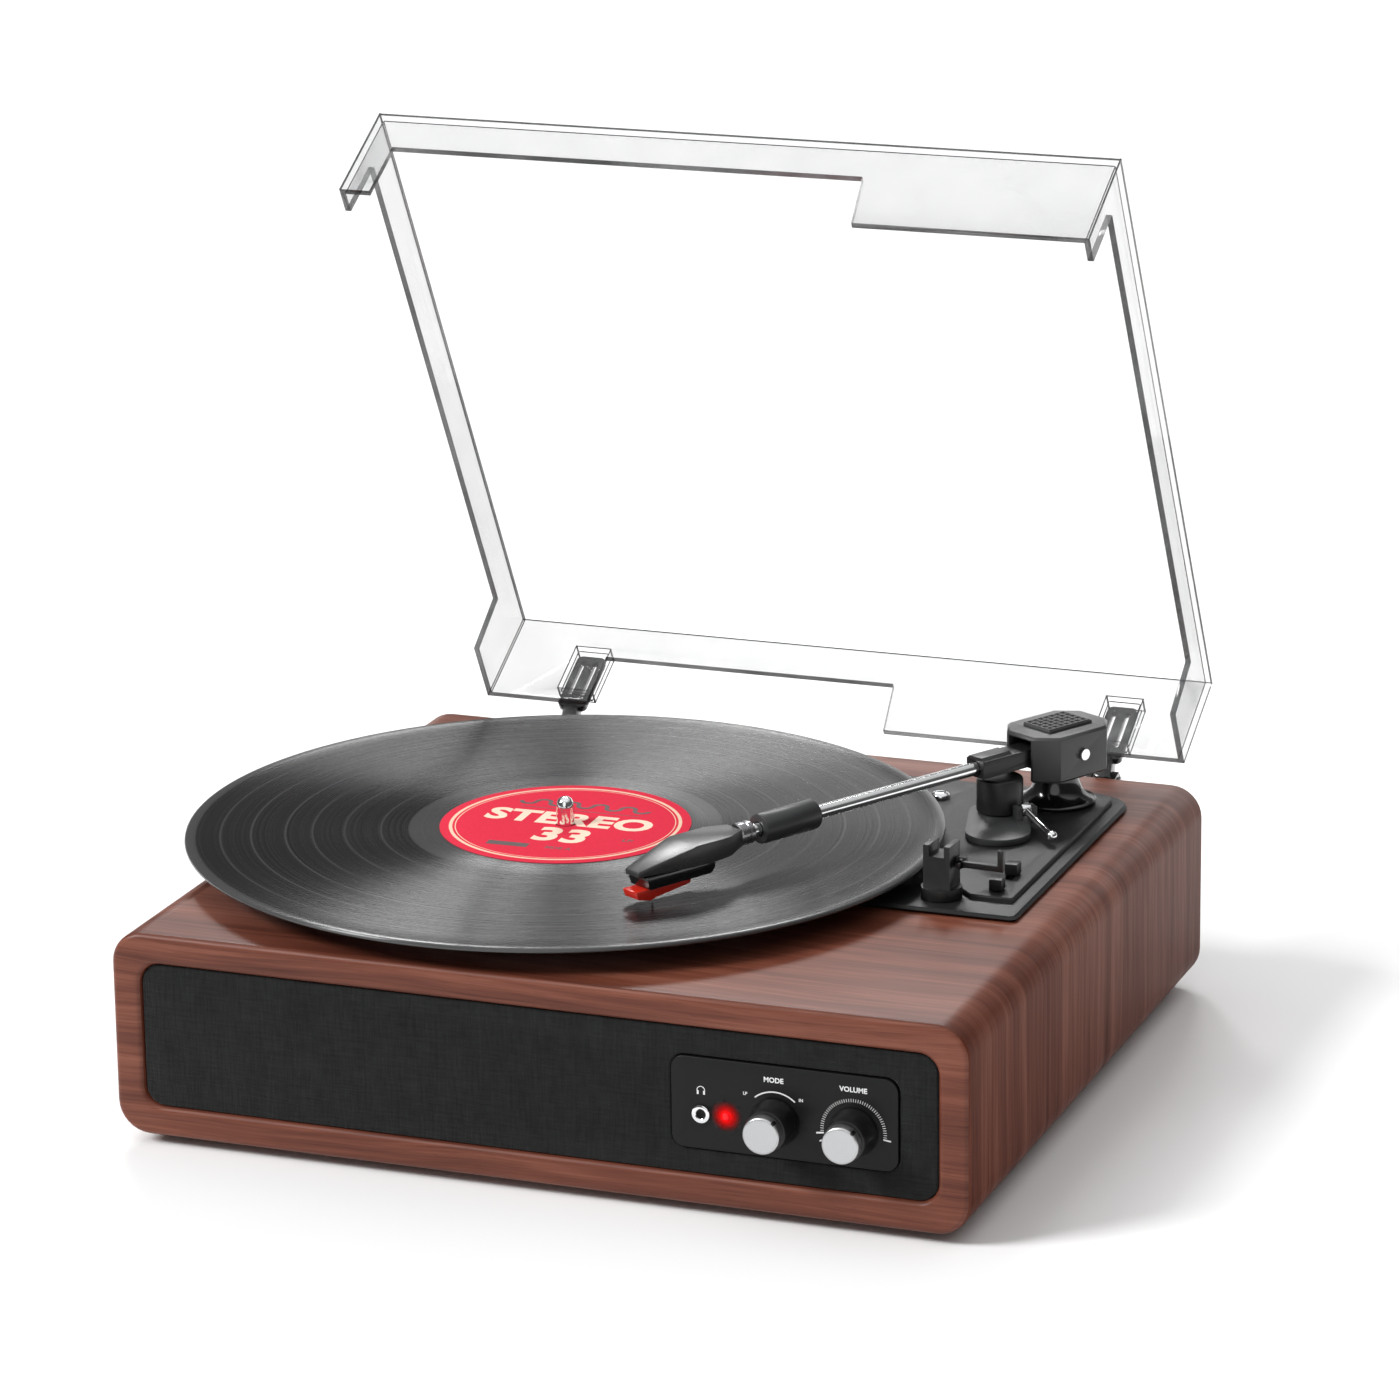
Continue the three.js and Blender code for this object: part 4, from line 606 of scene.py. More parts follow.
def rounded_plate(width, height, radius, thickness, steps=8):
    """A plate with rounded corners that faces the front, its back at y = 0, in millimetres."""
    bm = bmesh.new()
    bmesh.ops.create_grid(bm, x_segments=1, y_segments=1, size=0.5)
    bmesh.ops.scale(bm, vec=(width * MM, height * MM, 1), verts=bm.verts)
    bmesh.ops.bevel(bm, geom=bm.verts[:], offset=radius * MM, offset_type="OFFSET", segments=steps, profile=0.5,
                    affect="VERTICES", clamp_overlap=True, material=-1)
    moved(bm, (0, 0, 0), Matrix.Rotation(pi / 2, 3, "X"))
    faces = bm.faces[:]
    made = bmesh.ops.extrude_face_region(bm, geom=faces)
    front = [v for v in made["geom"] if isinstance(v, bmesh.types.BMVert)]
    bmesh.ops.translate(bm, vec=(0, -thickness * MM, 0), verts=front)
    bmesh.ops.recalc_face_normals(bm, faces=bm.faces)
    return bm


def lettering(text, height, thickness=PRINT, bold=0.0, spacing=1.0):
    """Printed letters as a bmesh in the XY plane about the origin, in millimetres."""
    curve = bpy.data.curves.new("letters", "FONT")
    curve.body = text
    curve.size = height * MM / 0.7
    curve.align_x = "CENTER"
    curve.align_y = "CENTER"
    curve.offset = bold * MM
    curve.space_character = spacing
    curve.extrude = thickness * MM / 2
    curve.resolution_u = 4
    holder = bpy.data.objects.new("letters", curve)
    bpy.context.scene.collection.objects.link(holder)
    bpy.context.view_layer.update()
    mesh = bpy.data.meshes.new_from_object(holder.evaluated_get(bpy.context.evaluated_depsgraph_get()))
    bm = bmesh.new()
    bm.from_mesh(mesh)
    bpy.data.objects.remove(holder)
    bpy.data.curves.remove(curve)
    bpy.data.meshes.remove(mesh)
    bmesh.ops.remove_doubles(bm, verts=bm.verts, dist=1e-7)
    return bm


def arc_band(radius, width, start, end, thickness=PRINT, steps=32):
    """A flat printed arc in the XY plane, in millimetres and degrees."""
    bm = bmesh.new()
    corners = [bm.verts.new((x * MM, 0, z * MM)) for x, z in (
        (radius, 0), (radius + width, 0), (radius + width, thickness), (radius, thickness))]
    face = bm.faces.new(corners)
    bmesh.ops.rotate(bm, verts=bm.verts, cent=(0, 0, 0), matrix=Matrix.Rotation(radians(start), 3, "Z"))
    bmesh.ops.spin(bm, geom=[face] + list(face.edges) + corners, cent=(0, 0, 0), axis=(0, 0, 1),
                   angle=radians(end - start), steps=steps, use_merge=False)
    bmesh.ops.recalc_face_normals(bm, faces=bm.faces)
    return bm


# ---------------------------------------------------------------- settings

class TurntableLook(bpy.types.PropertyGroup):
    """Sizes and colours that a user may change."""
    wood_dark: bpy.props.FloatVectorProperty(
        name="Wood dark", description="Colour of the darkest grain", subtype="COLOR", default=(0.058, 0.0135, 0.0072))
    wood_middle: bpy.props.FloatVectorProperty(
        name="Wood middle", description="Main colour of the veneer", subtype="COLOR", default=(0.142, 0.041, 0.0235))
    wood_light: bpy.props.FloatVectorProperty(
        name="Wood light", description="Colour of the lightest grain", subtype="COLOR", default=(0.25, 0.09, 0.056))
    wood_contrast: bpy.props.FloatProperty(
        name="Wood contrast", description="How far dark and light grain differ", default=1.0, min=0.0, max=3.0)
    label_coral: bpy.props.FloatVectorProperty(
        name="Label colour", description="Main colour of the record label", subtype="COLOR",
        default=(0.672, 0.04, 0.072))
    label_cream: bpy.props.FloatVectorProperty(
        name="Label cream", description="Colour of the label's rings and letters", subtype="COLOR",
        default=(0.78, 0.56, 0.42))
    cover_tint: bpy.props.FloatProperty(
        name="Cover tint", description="How far the clear cover hides what is behind it", default=0.015, min=0.0,
        max=1.0)
    # Painted shade: how far the darker copy on the cover's walls hides what is behind them.
    wall_shade_tint: bpy.props.FloatProperty(
        name="Cover wall tint", description="How far the cover's walls hide what is behind them", default=0.2, min=0.0,
        max=1.0)
    # Painted shade: how dark the cover's cut edges are painted.
    edge_shade_strength: bpy.props.FloatProperty(
        name="Cover edges", description="How dark the cover's cut edges are", default=0.96, min=0.0, max=1.0)
    # Painted shade: width of the dark rods in the cover's corners.
    corner_shade_width: bpy.props.FloatProperty(
        name="Cover corners", description="Width of the dark lines in the cover's corners", subtype="DISTANCE",
        unit="LENGTH", default=0.0008, min=0.0002, max=0.0015)
    front_easing: bpy.props.FloatProperty(
        name="Front easing", description="Radius of the plinth's front edges", subtype="DISTANCE", unit="LENGTH",
        default=0.0024, min=0.0005, max=0.004)


def look():
    return bpy.context.scene.turntable_look


class MakeFinishes(bpy.types.Operator):
    """Makes every finish, and gives the inner parts theirs"""
    bl_idname = "turntable.finishes"
    bl_label = "Finishes"

    def execute(self, context):
        make_finishes(look())
        inner = {
            "front_baffle": "baffle_board", "speaker_left": "speaker_cone", "speaker_right": "speaker_cone",
            "mode_switch": "zinc_steel", "volume_pot": "zinc_steel", "amplifier_board": "circuit_board",
            "bearing_housing": "brass", "drive_motor": "zinc_steel", "motor_pulley": "brass",
            "drive_belt": "belt_rubber", "platter": "platter_metal", "rear_panel": "black_plastic",
            "hinge_pin_left": "zinc_steel", "hinge_pin_right": "zinc_steel", "arm_counterweight": "zinc_steel",
            "lift_axle": "chrome",
        }
        for node, label in inner.items():
            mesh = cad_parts[node].data
            mesh.materials.clear()
            mesh.materials.append(FINISHES[label])
        return {"FINISHED"}


class MakePlinth(bpy.types.Operator):
    """Makes the veneered case and its rubber feet"""
    bl_idname = "turntable.plinth"
    bl_label = "Plinth"

    def execute(self, context):
        front, rear = (corner.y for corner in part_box("plinth_case"))
        bm = merged("plinth_case")
        at_front = lambda edge: all(abs(v.co.y - front) < 1e-5 for v in edge.verts)
        ease(bm, sharp_edges(bm, 60, at_front), look().front_easing, 5, clamp=False)
        at_rear = lambda edge: all(abs(v.co.y - rear) < 1e-5 for v in edge.verts)
        ease(bm, sharp_edges(bm, 60, at_rear), 0.001, 3, clamp=False)
        for face in bm.faces:
            face.material_index = 1 if face.normal.y < -0.6 or face.normal.y > 0.9 else 0
        keep("plinth_veneer", bm, ["walnut_wrap", "walnut_front"], "root", ("plinth_case",), 30)
        for end in ("front_left", "front_right", "rear_left", "rear_right"):
            node = f"foot_{end}"
            centre, (low, high) = middle(node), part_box(node)
            height = (high.z - low.z) / MM
            bm = lathe([(0, 0), (4.6, 0), (5.3, 0.25), (6.2, 0.5), (6.8, 1.2), (7, 2), (7, height), (0, height)], 48)
            keep(f"foot_pad_{end}", moved(bm, (centre.x, centre.y, low.z)), "foot_rubber", "root",
                 (node,))
        return {"FINISHED"}


class MakeGrille(bpy.types.Operator):
    """Makes the cloth stretched over the speaker board"""
    bl_idname = "turntable.grille"
    bl_label = "Speaker cloth"

    def execute(self, context):
        low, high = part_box("grille_cloth")
        width, height = (high.x - low.x) / MM, (high.z - low.z) / MM
        cloth = rounded_plate(width, height, 7.6, 1.2, 10)
        moved(cloth, ((low.x + high.x) / 2, low.y + 1.2 * MM, (low.z + high.z) / 2))
        panel = middle("control_panel")
        hole = rounded_plate(*PANEL_WINDOW, 5.4, 1.2, 8)
        moved(hole, (panel.x, low.y + 1.2 * MM, panel.z))
        for plate in (cloth, hole):
            flat = [f for f in plate.faces if abs(f.normal.y) > 0.5]
            bmesh.ops.delete(plate, geom=flat, context="FACES_ONLY")
        bm = joined(cloth, hole)
        for y in (low.y, low.y + 1.2 * MM):
            rim = [e for e in bm.edges if len(e.link_faces) == 1 and all(abs(v.co.y - y) < 1e-6 for v in e.verts)]
            bmesh.ops.triangle_fill(bm, use_beauty=True, use_dissolve=False, edges=rim)
        half_width, half_height = (size * MM / 2 for size in PANEL_WINDOW)

        def within(place, slack):
            return abs(place.x - panel.x) < half_width + slack and abs(place.z - panel.z) < half_height + slack

        inside = [f for f in bm.faces if abs(f.normal.y) > 0.9 and within(f.calc_center_median(), -0.0001)
                  and all(within(v.co, 0.0002) for v in f.verts)]
        bmesh.ops.delete(bm, geom=inside, context="FACES_ONLY")
        bmesh.ops.recalc_face_normals(bm, faces=bm.faces)
        edges = sharp_edges(bm, 60, lambda edge: all(abs(v.co.y - low.y) < 1e-6 for v in edge.verts))
        ease(bm, edges, 0.6 * MM, 3, clamp=False)
        sheet = keep("speaker_cloth", bm, "grille_fabric", "root", ("grille_cloth",), 40)
        return {"FINISHED"}


class MakeControlPanel(bpy.types.Operator):
    """Makes the control panel, its print, the headphone jack and the lamp"""
    bl_idname = "turntable.control_panel"
    bl_label = "Control panel"

    def execute(self, context):
        bm = merged("control_panel")
        rim = sharp_edges(bm, 60, lambda edge: all(abs(v.co.y - PANEL_FACE) < 1e-6 for v in edge.verts))
        ease(bm, rim, 0.35 * MM, 3, clamp=False)
        keep("panel_plate", bm, "panel_gloss", "root", ("control_panel",), 40)
        face = PANEL_FACE - 0.02 * MM
        mode, volume, jack, lamp = (middle(n) for n in ("mode_knob", "volume_knob", "headphone_jack", "power_led"))
        upright = Matrix.Rotation(pi / 2, 3, "X")

        def on_panel(bm, x, z):
            return moved(bm, (x, face, z), upright)

        marks = [
            on_panel(lettering("MODE", 1.9, bold=0.09, spacing=1.02), mode.x - 0.4 * MM, mode.z + 16.4 * MM),
            on_panel(lettering("VOLUME", 1.9, bold=0.09, spacing=1.02), volume.x, volume.z + 16.4 * MM),
            on_panel(lettering("LP", 1.2, bold=0.05), mode.x - 11.6 * MM, mode.z + 10 * MM),
            on_panel(lettering("IN", 1.2, bold=0.05), mode.x + 10.3 * MM, mode.z + 9.8 * MM),
            on_panel(arc_band(11.6, 0.55, 48, 131), mode.x, mode.z),
        ]
        for n in range(47):
            angle = radians(-8 + n * 196 / 46)
            ends = n in (0, 46)
            tick = slab(3.0 if ends else 1.3, 0.62 if ends else 0.2, PRINT)
            moved(tick, ((13.2 if ends else 12.3) * MM, 0, 0))
            moved(tick, (0, 0, 0), Matrix.Rotation(angle, 3, "Z"))
            marks.append(on_panel(tick, volume.x, volume.z))
        for n, angle in enumerate((201, 213)):
            tick = moved(slab(2.2 - 0.5 * n, 0.55, PRINT), (13.2 * MM, 0, 0))
            marks.append(on_panel(moved(tick, (0, 0, 0), Matrix.Rotation(radians(angle), 3, "Z")), volume.x, volume.z))
        icon = (jack.x - 0.1 * MM, jack.z + 9.2 * MM)
        marks.append(on_panel(arc_band(1.35, 0.3, -5, 185), *icon))
        for side in (-1, 1):
            pad = moved(slab(0.75, 1.5, PRINT), (side * 1.25 * MM, -0.9 * MM, 0))
            marks.append(on_panel(pad, *icon))
        keep("panel_print", joined(*marks), "ink_white", "root")

        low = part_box("headphone_jack")[0]
        ring = [(1.9, 0.9), (1.9, 0.25), (2.2, 0), (3.1, 0), (3.45, 0.2), (3.6, 0.6), (3.6, 1), (3, 1), (3, 13),
                (1.9, 13), (1.9, 0.9)]
        keep("jack_ring", moved(lathe(ring, 64), (jack.x, low.y, jack.z), TO_BACK), "chrome", "root",
             ("headphone_jack",))
        # The jack's hole: black, partly its own plastic and partly painted shade.
        well = lathe([(0, 2.2), (1.2, 2.2), (1.88, 1.7), (1.88, 6), (0, 6)], 48)
        keep("jack_well", moved(well, (jack.x, low.y, jack.z), TO_BACK), "panel_groove", "root")
        low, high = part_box("power_led")
        depth = (high.y - low.y) / MM
        dome = [(0, 0), (0.6, 0.06), (1.1, 0.26), (1.42, 0.62), (1.5, 1), (1.5, 4.2), (2, 4.2), (2, depth), (0, depth)]
        keep("lamp_lens", moved(lathe(dome, 48), (lamp.x, low.y, lamp.z), TO_BACK), "lamp_red", "root",
             ("power_led",))
        halo = lathe([(1.55, 0), (6.6, 0), (6.6, 0.02), (1.55, 0.02), (1.55, 0)], 64)
        keep("lamp_glow", moved(halo, (lamp.x, face - 0.02 * MM, lamp.z), TO_BACK), "lamp_halo", "root")
        return {"FINISHED"}


class MakeKnobs(bpy.types.Operator):
    """Makes the mode and volume knobs with their metal caps"""
    bl_idname = "turntable.knobs"
    bl_label = "Knobs"

    def execute(self, context):
        for name in ("mode", "volume"):
            node, body = f"{name}_knob", f"{name}_control"
            centre, (low, high) = middle(node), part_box(node)
            depth = (high.y - low.y) / MM
            skirt = [(0, 0), (7.3, 0), (7.8, 0.15), (8.05, 0.55), (8.5, 4), (8.9, 8.2), (9.15, 9.1), (9.4, 9.7),
                     (9.4, 10.5), (3, 10.5), (3, depth), (0, depth)]
            bm = lathe(skirt, 96)
            keep(f"{name}_knob_skirt", moved(bm, (centre.x, low.y, centre.z), TO_BACK), "knob_black", body,
                 (node,))
            low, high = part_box(f"{node}_cap")
            tall = (high.y - low.y) / MM
            cap = [(0, 0.12), (2.5, 0.1), (5.6, 0.02), (6.2, 0), (6.75, 0.12), (7.1, 0.45), (7.2, 0.9),
                   (7.2, tall - 0.6), (7, tall), (0, tall)]
            bm = moved(lathe(cap, 96), (centre.x, low.y, centre.z), TO_BACK)
            keep(f"{name}_knob_face", bm, f"{name}_cap_metal", body, (f"{node}_cap",), 50)
            groove = moved(slab(2.6, 1.5, 3.2, 0.25), (6.1 * MM, 0, 0))
            moved(groove, (0, 0, 0), Matrix.Rotation(radians(48), 3, "Z"))
            moved(groove, (centre.x, low.y + 1.7 * MM, centre.z), Matrix.Rotation(pi / 2, 3, "X"))
            keep(f"{name}_pointer", groove, "knob_black", body)
        return {"FINISHED"}


class MakeDeck(bpy.types.Operator):
    """Makes the deck plate, the transit screw and the two slides"""
    bl_idname = "turntable.deck"
    bl_label = "Deck"

    def execute(self, context):
        eased("deck_moulding", "deck_plate", "deck_plastic", "root", 0.45, 2, 35, 32)
        low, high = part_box("transit_screw")
        centre = middle("transit_screw")
        tall = (high.z - low.z) / MM
        profile = [(0, 0), (2, 0), (2, tall - 2.2), (4, tall - 2.2), (4, tall - 1.5), (3.6, tall - 0.8),
                   (2.8, tall - 0.3), (1.6, tall - 0.02), (0, tall)]
        keep("transit_screw_head", moved(lathe(profile, 64), (centre.x, centre.y, low.z)), "chrome", "root",
             ("transit_screw",))
        # The screw's slot is a black bar: painted shade.
        slot = moved(slab(4.6, 0.7, 0.5), (centre.x, centre.y, high.z - 0.22 * MM), Matrix.Rotation(0.6, 3, "Z"))
        keep("transit_screw_slot", slot, "panel_groove", "root")
        for node, body in (("speed_switch_knob", "speed_switch"), ("auto_stop_knob", "auto_stop")):
            eased(f"{node}_cap", node, "knob_black", body, 0.5, 3)
        return {"FINISHED"}


class MakePlatter(bpy.types.Operator):
    """Makes the mat, the record with its printed label, and the spindle"""
    bl_idname = "turntable.platter"
    bl_label = "Platter"

    def execute(self, context):
        centre = Vector((SPINDLE.x, SPINDLE.y, 0))

        def upright(node, profile, steps=128):
            return moved(lathe(profile, steps), centre + Vector((0, 0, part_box(node)[0].z)))

        mat = upright("slipmat", [(4, 0), (109.8, 0), (110, 0.3), (110, 0.7), (109.7, 1), (4, 1), (4, 0)], 160)
        sheet = keep("felt_mat", mat, "mat_felt", "platter", ("slipmat",))
        low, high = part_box("spindle")
        tall = (high.z - low.z) / MM
        pin = [(0, 0), (3.6, 0), (3.6, tall - 4.2), (3.52, tall - 3.4), (3.2, tall - 1.9), (2.6, tall - 0.9),
               (1.7, tall - 0.25), (0.8, tall - 0.03), (0, tall)]
        keep("spindle_pin", upright("spindle", pin, 64), "chrome", "platter", ("spindle",))
        disc = [(3.8, 0), (149.9, 0), (150.6, 0.35), (150.8, 1), (150.6, 1.65), (149.9, 1.98), (148.2, 2),
                (147.2, 1.92), (146.6, 1.8), (140, 1.8), (120, 1.8), (100, 1.8), (80, 1.8), (62, 1.8), (61.2, 1.84),
                (55, 1.86), (54, 1.97), (51, 2), (3.8, 2), (3.8, 0)]
        keep("record_disc", upright("record", disc, 240), "record_vinyl", "platter", ("record",), 50)
        label = [(4, 0), (50, 0), (50, 0.15), (49.8, 0.2), (4.3, 0.2), (4, 0.16), (4, 0)]
        keep("label_disc", upright("record_label", label, 160), "label_paper", "platter",
             ("record_label",))
        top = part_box("record_label")[1].z + 0.015 * MM
        slope = Matrix.Rotation(radians(1.7), 3, "Z")

        def on_label(bm, x, y):
            return moved(moved(bm, (x * MM, y * MM, 0)), centre + Vector((0, 0, top)), slope)

        words = [on_label(lettering("STEREO", 13.5, bold=0.75, spacing=1.04), 0, 4.5),
                 on_label(lettering("33", 15.5, bold=0.85, spacing=1.05), 4, -15.5)]
        keep("label_words", joined(*words), "ink_cream", "platter")
        small = [on_label(slab(17, 4.6, PRINT), -13, -30.5), on_label(lettering("SIDE A", 2.6, bold=0.08), 8, -30.5),
                 on_label(lettering("LP", 3, bold=0.1), 31, -14)]
        for n in range(9):
            start = 0 if n % 2 else 180
            small.append(on_label(arc_band(2.1, 1.8, start, start + 180), n * 6 - 24, 23.5 + (0.2 if n % 2 else 0)))
        small.append(on_label(slab(50, 0.5, PRINT), 0, 16.6))
        keep("label_flourish", joined(*small), "ink_dark", "platter")
        return {"FINISHED"}


class MakeTonearm(bpy.types.Operator):
    """Makes the tonearm from its base to the stylus"""
    bl_idname = "turntable.tonearm"
    bl_label = "Tonearm"

    def execute(self, context):
        pivot = Vector((PIVOT.x, PIVOT.y, AXIS_Z))
        low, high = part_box("tonearm_base")
        tall = (high.z - low.z) / MM
        cone = [(3.4, 0), (15.4, 0), (16, 0.5), (16, 1.2), (15.6, 1.7), (14.6, 2.1), (13.6, 2.6), (12.2, 3.6),
                (11, 4.8), (10.2, 6.2), (9.6, 8), (9.1, 9.6), (9, tall), (3.4, tall), (3.4, 0)]
        keep("arm_base_cone", moved(lathe(cone, 96), (PIVOT.x, PIVOT.y, low.z)), "gloss_black", "root",
             ("tonearm_base",))
        eased("yoke_bracket", "arm_yoke", "black_plastic", "arm_swing", 0.2, 2)
        eased("pivot_hood", "arm_hood", "hood_black", "arm_swing", 0.4, 3, 35, 32)
        swing = Matrix.Rotation(ARM_TURN, 3, "Z")
        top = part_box("arm_hood")[1].z
        # A dark pad under the ribs: painted shade between them.
        pad = moved(slab(15.4, 22.4, 0.4, 0.15, 1), (PIVOT.x, PIVOT.y, top - 0.12 * MM), swing)
        keep("hood_pad", pad, "panel_groove", "arm_swing")
        ribs = [moved(slab(15, 0.6, 0.5, 0.1, 1), (0, (n * 3.05 - 10.7) * MM, 0)) for n in range(8)]
        ribs += [moved(slab(0.6, 22, 0.5, 0.1, 1), ((n * 2.88 - 7.2) * MM, 0, 0)) for n in range(6)]
        grid = moved(joined(*ribs), (PIVOT.x, PIVOT.y, top + 0.2 * MM), swing)
        keep("hood_grip", grid, "hood_rib", "arm_swing")
        eased("arm_root_block", "arm_holder", "black_plastic", "tonearm", 0.35, 2)

        def along(profile, steps=64):
            return moved(lathe(profile, steps), pivot, ALONG_ARM)

        reach = {n: self.reach(n, pivot) for n in ("arm_tube", "arm_sleeve", "arm_collar")}
        a, b = reach["arm_tube"]
        keep("arm_tube_polished", along([(2.05, a), (2.75, a), (2.75, b), (2.05, b), (2.05, a)]), "chrome", "tonearm",
             ("arm_tube",))
        a, b = reach["arm_sleeve"]
        sleeve = [(3.05, a), (5.1, a), (5.7, a + 0.3), (6, a + 0.9), (6, b - 0.9), (5.7, b - 0.3), (5.1, b), (3.05, b),
                  (3.05, a)]
        keep("arm_sleeve_grip", along(sleeve), "grey_plastic", "tonearm", ("arm_sleeve",))
        a, b = reach["arm_collar"]
        collar = [(3.05, a), (4.2, a), (4.6, a + 0.5), (4.6, a + 2.4), (4.1, a + 2.7), (4.1, a + 3.3), (4.6, a + 3.6),
                  (4.6, b - 0.5), (4.2, b), (3.05, b), (3.05, a)]
        keep("arm_collar_ring", along(collar), "collar_metal", "tonearm", ("arm_collar",))
        eased("headshell_body", "headshell", "hood_black", "tonearm", 0.45, 3)
        eased("cartridge_body", "cartridge", "gloss_black", "tonearm", 0.3, 2)
        eased("stylus_holder", "stylus", "stylus_red", "tonearm", 0.25, 2)
        return {"FINISHED"}

    def reach(self, node, pivot):
        """How far along the arm a round node starts and ends, in millimetres."""
        direction = ALONG_ARM @ Vector((0, 0, 1))
        steps = [(v.co - pivot).dot(direction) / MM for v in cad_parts[node].data.vertices]
        return min(steps), max(steps)


class MakeArmRest(bpy.types.Operator):
    """Makes the arm rest, its clip and the cue lift"""
    bl_idname = "turntable.arm_rest"
    bl_label = "Arm rest and cue lift"

    def execute(self, context):
        eased("arm_rest_post", "arm_rest", "black_plastic", "root", 0.35, 2)
        eased("arm_rest_clip", "arm_clip", "black_plastic", "rest_clip", 0.3, 2)
        eased("cue_plate", "cue_base", "grey_plastic", "root", 0.3, 2)
        low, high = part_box("cue_lift_pad")
        centre = middle("cue_lift_pad")
        tall = (high.z - low.z) / MM
        cup = [(5.3, 0), (8.9, 0), (9.4, 0.5), (9.4, tall - 1.2), (9.1, tall - 0.5), (8.4, tall - 0.1), (7.6, tall),
               (0, tall), (0, tall - 1.8), (5.3, tall - 1.8), (5.3, 0)]
        keep("cue_cup", moved(lathe(cup, 96), (centre.x, centre.y, low.z)), "black_plastic", "cue_pad",
             ("cue_lift_pad",))
        eased("cue_lever_rod", "cue_lever", "chrome", "cue_lever", 0.15, 2, 40, 50)
        return {"FINISHED"}


class MakeCover(bpy.types.Operator):
    """Makes the clear dust cover and its hinges"""
    bl_idname = "turntable.cover"
    bl_label = "Dust cover"

    def execute(self, context):
        bm = merged("dust_cover")
        bm.normal_update()
        top = max(bm.faces, key=lambda face: face.calc_area()).normal.copy()
        backs = [face for face in bm.faces if face.normal.dot(COVER_REAR) > 0.99]
        rear = max(backs, key=lambda face: face.calc_area()).calc_center_median().dot(COVER_REAR)
        # Top faces and pockets take the clear sheet, the walls its darker copy with painted shade, and the narrow cut
        # edges the painted edge shade.
        for face in bm.faces:
            narrow = face.calc_area() / face.calc_perimeter() < 1.3 * MM
            pocket = face.calc_center_median().dot(COVER_REAR) > rear + 0.1 * MM
            face.material_index = 0 if pocket else 2 if narrow else 0 if abs(face.normal.dot(top)) > 0.9 else 1
        # The dark corner rods are painted shade.
        keep("cover_corner_shade", self.corner_shade_rods(bm), "acrylic_edge", "lid")
        keep("cover_sheet", bm, ["clear_acrylic", "acrylic_wall_painted_shade", "acrylic_edge"], "lid",
             ("dust_cover",), 35)
        for side in ("left", "right"):
            eased(f"hinge_{side}_blade", f"hinge_blade_{side}", "gloss_black", "lid", 0.3, 2)
            eased(f"hinge_{side}_bracket", f"hinge_bracket_{side}", "gloss_black", "root", 0.3, 2)
        return {"FINISHED"}

    def corner_shade_rods(self, bm):
        """Thin dark rods just inside the sheet's corners: painted shade where a polished edge looks dark."""
        rods = bmesh.new()
        for edge in sharp_edges(bm, 60):
            if any(face.material_index == 2 for face in edge.link_faces) or edge.calc_length() < 4 * MM:
                continue
            ends = [v.co for v in edge.verts]
            outward = edge.link_faces[0].normal + edge.link_faces[1].normal
            faint = outward.dot(COVER_REAR) > 0.5 or edge.calc_face_angle_signed() < 0
            radius = look().corner_shade_width * (0.3 if faint else 0.5)
            way = (ends[1] - ends[0]).to_track_quat("Z", "Y").to_matrix().to_4x4()
            where = Matrix.Translation((ends[0] + ends[1]) / 2 - outward * radius) @ way
            bmesh.ops.create_cone(rods, cap_ends=True, segments=6, radius1=radius, radius2=radius,
                                  depth=edge.calc_length(), matrix=where)
        return rods


class MakeRear(bpy.types.Operator):
    """Makes the connections and the power rocker on the rear panel"""
    bl_idname = "turntable.rear"
    bl_label = "Rear connections"

    def execute(self, context):
        eased("socket_block", "audio_sockets", "black_plastic", "root", 0.2, 2)
        eased("inlet_socket", "power_inlet", "black_plastic", "root", 0.15, 2)
        eased("rocker_key", "power_rocker", "gloss_black", "power_switch", 0.4, 3)
        block, panel = middle("audio_sockets"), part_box("rear_panel")[1].y
        for shift, label in ((-15, "socket_red"), (0, "socket_white")):
            ring = lathe([(4.35, 0), (5.6, 0), (5.6, 0.7), (5.3, 1), (4.35, 1), (4.35, 0)], 48)
            moved(ring, (block.x + shift * MM, panel + 1.1 * MM, block.z), TO_BACK)
            keep(f"{label}_ring", ring, label, "root")
        low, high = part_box("rear_panel")
        for x in (low.x + 8 * MM, high.x - 8 * MM):
            for z in (low.z + 8 * MM, high.z - 8 * MM):
                head = lathe([(0, 0), (3, 0), (3, 0.5), (2.4, 1.2), (1.2, 1.5), (0, 1.55)], 32)
                keep(f"rear_screw_{'left' if x < 0 else 'right'}_{'low' if z < block.z else 'high'}",
                     moved(head, (x, panel - 0.02 * MM, z), TO_BACK), "zinc_steel", "root")
        return {"FINISHED"}


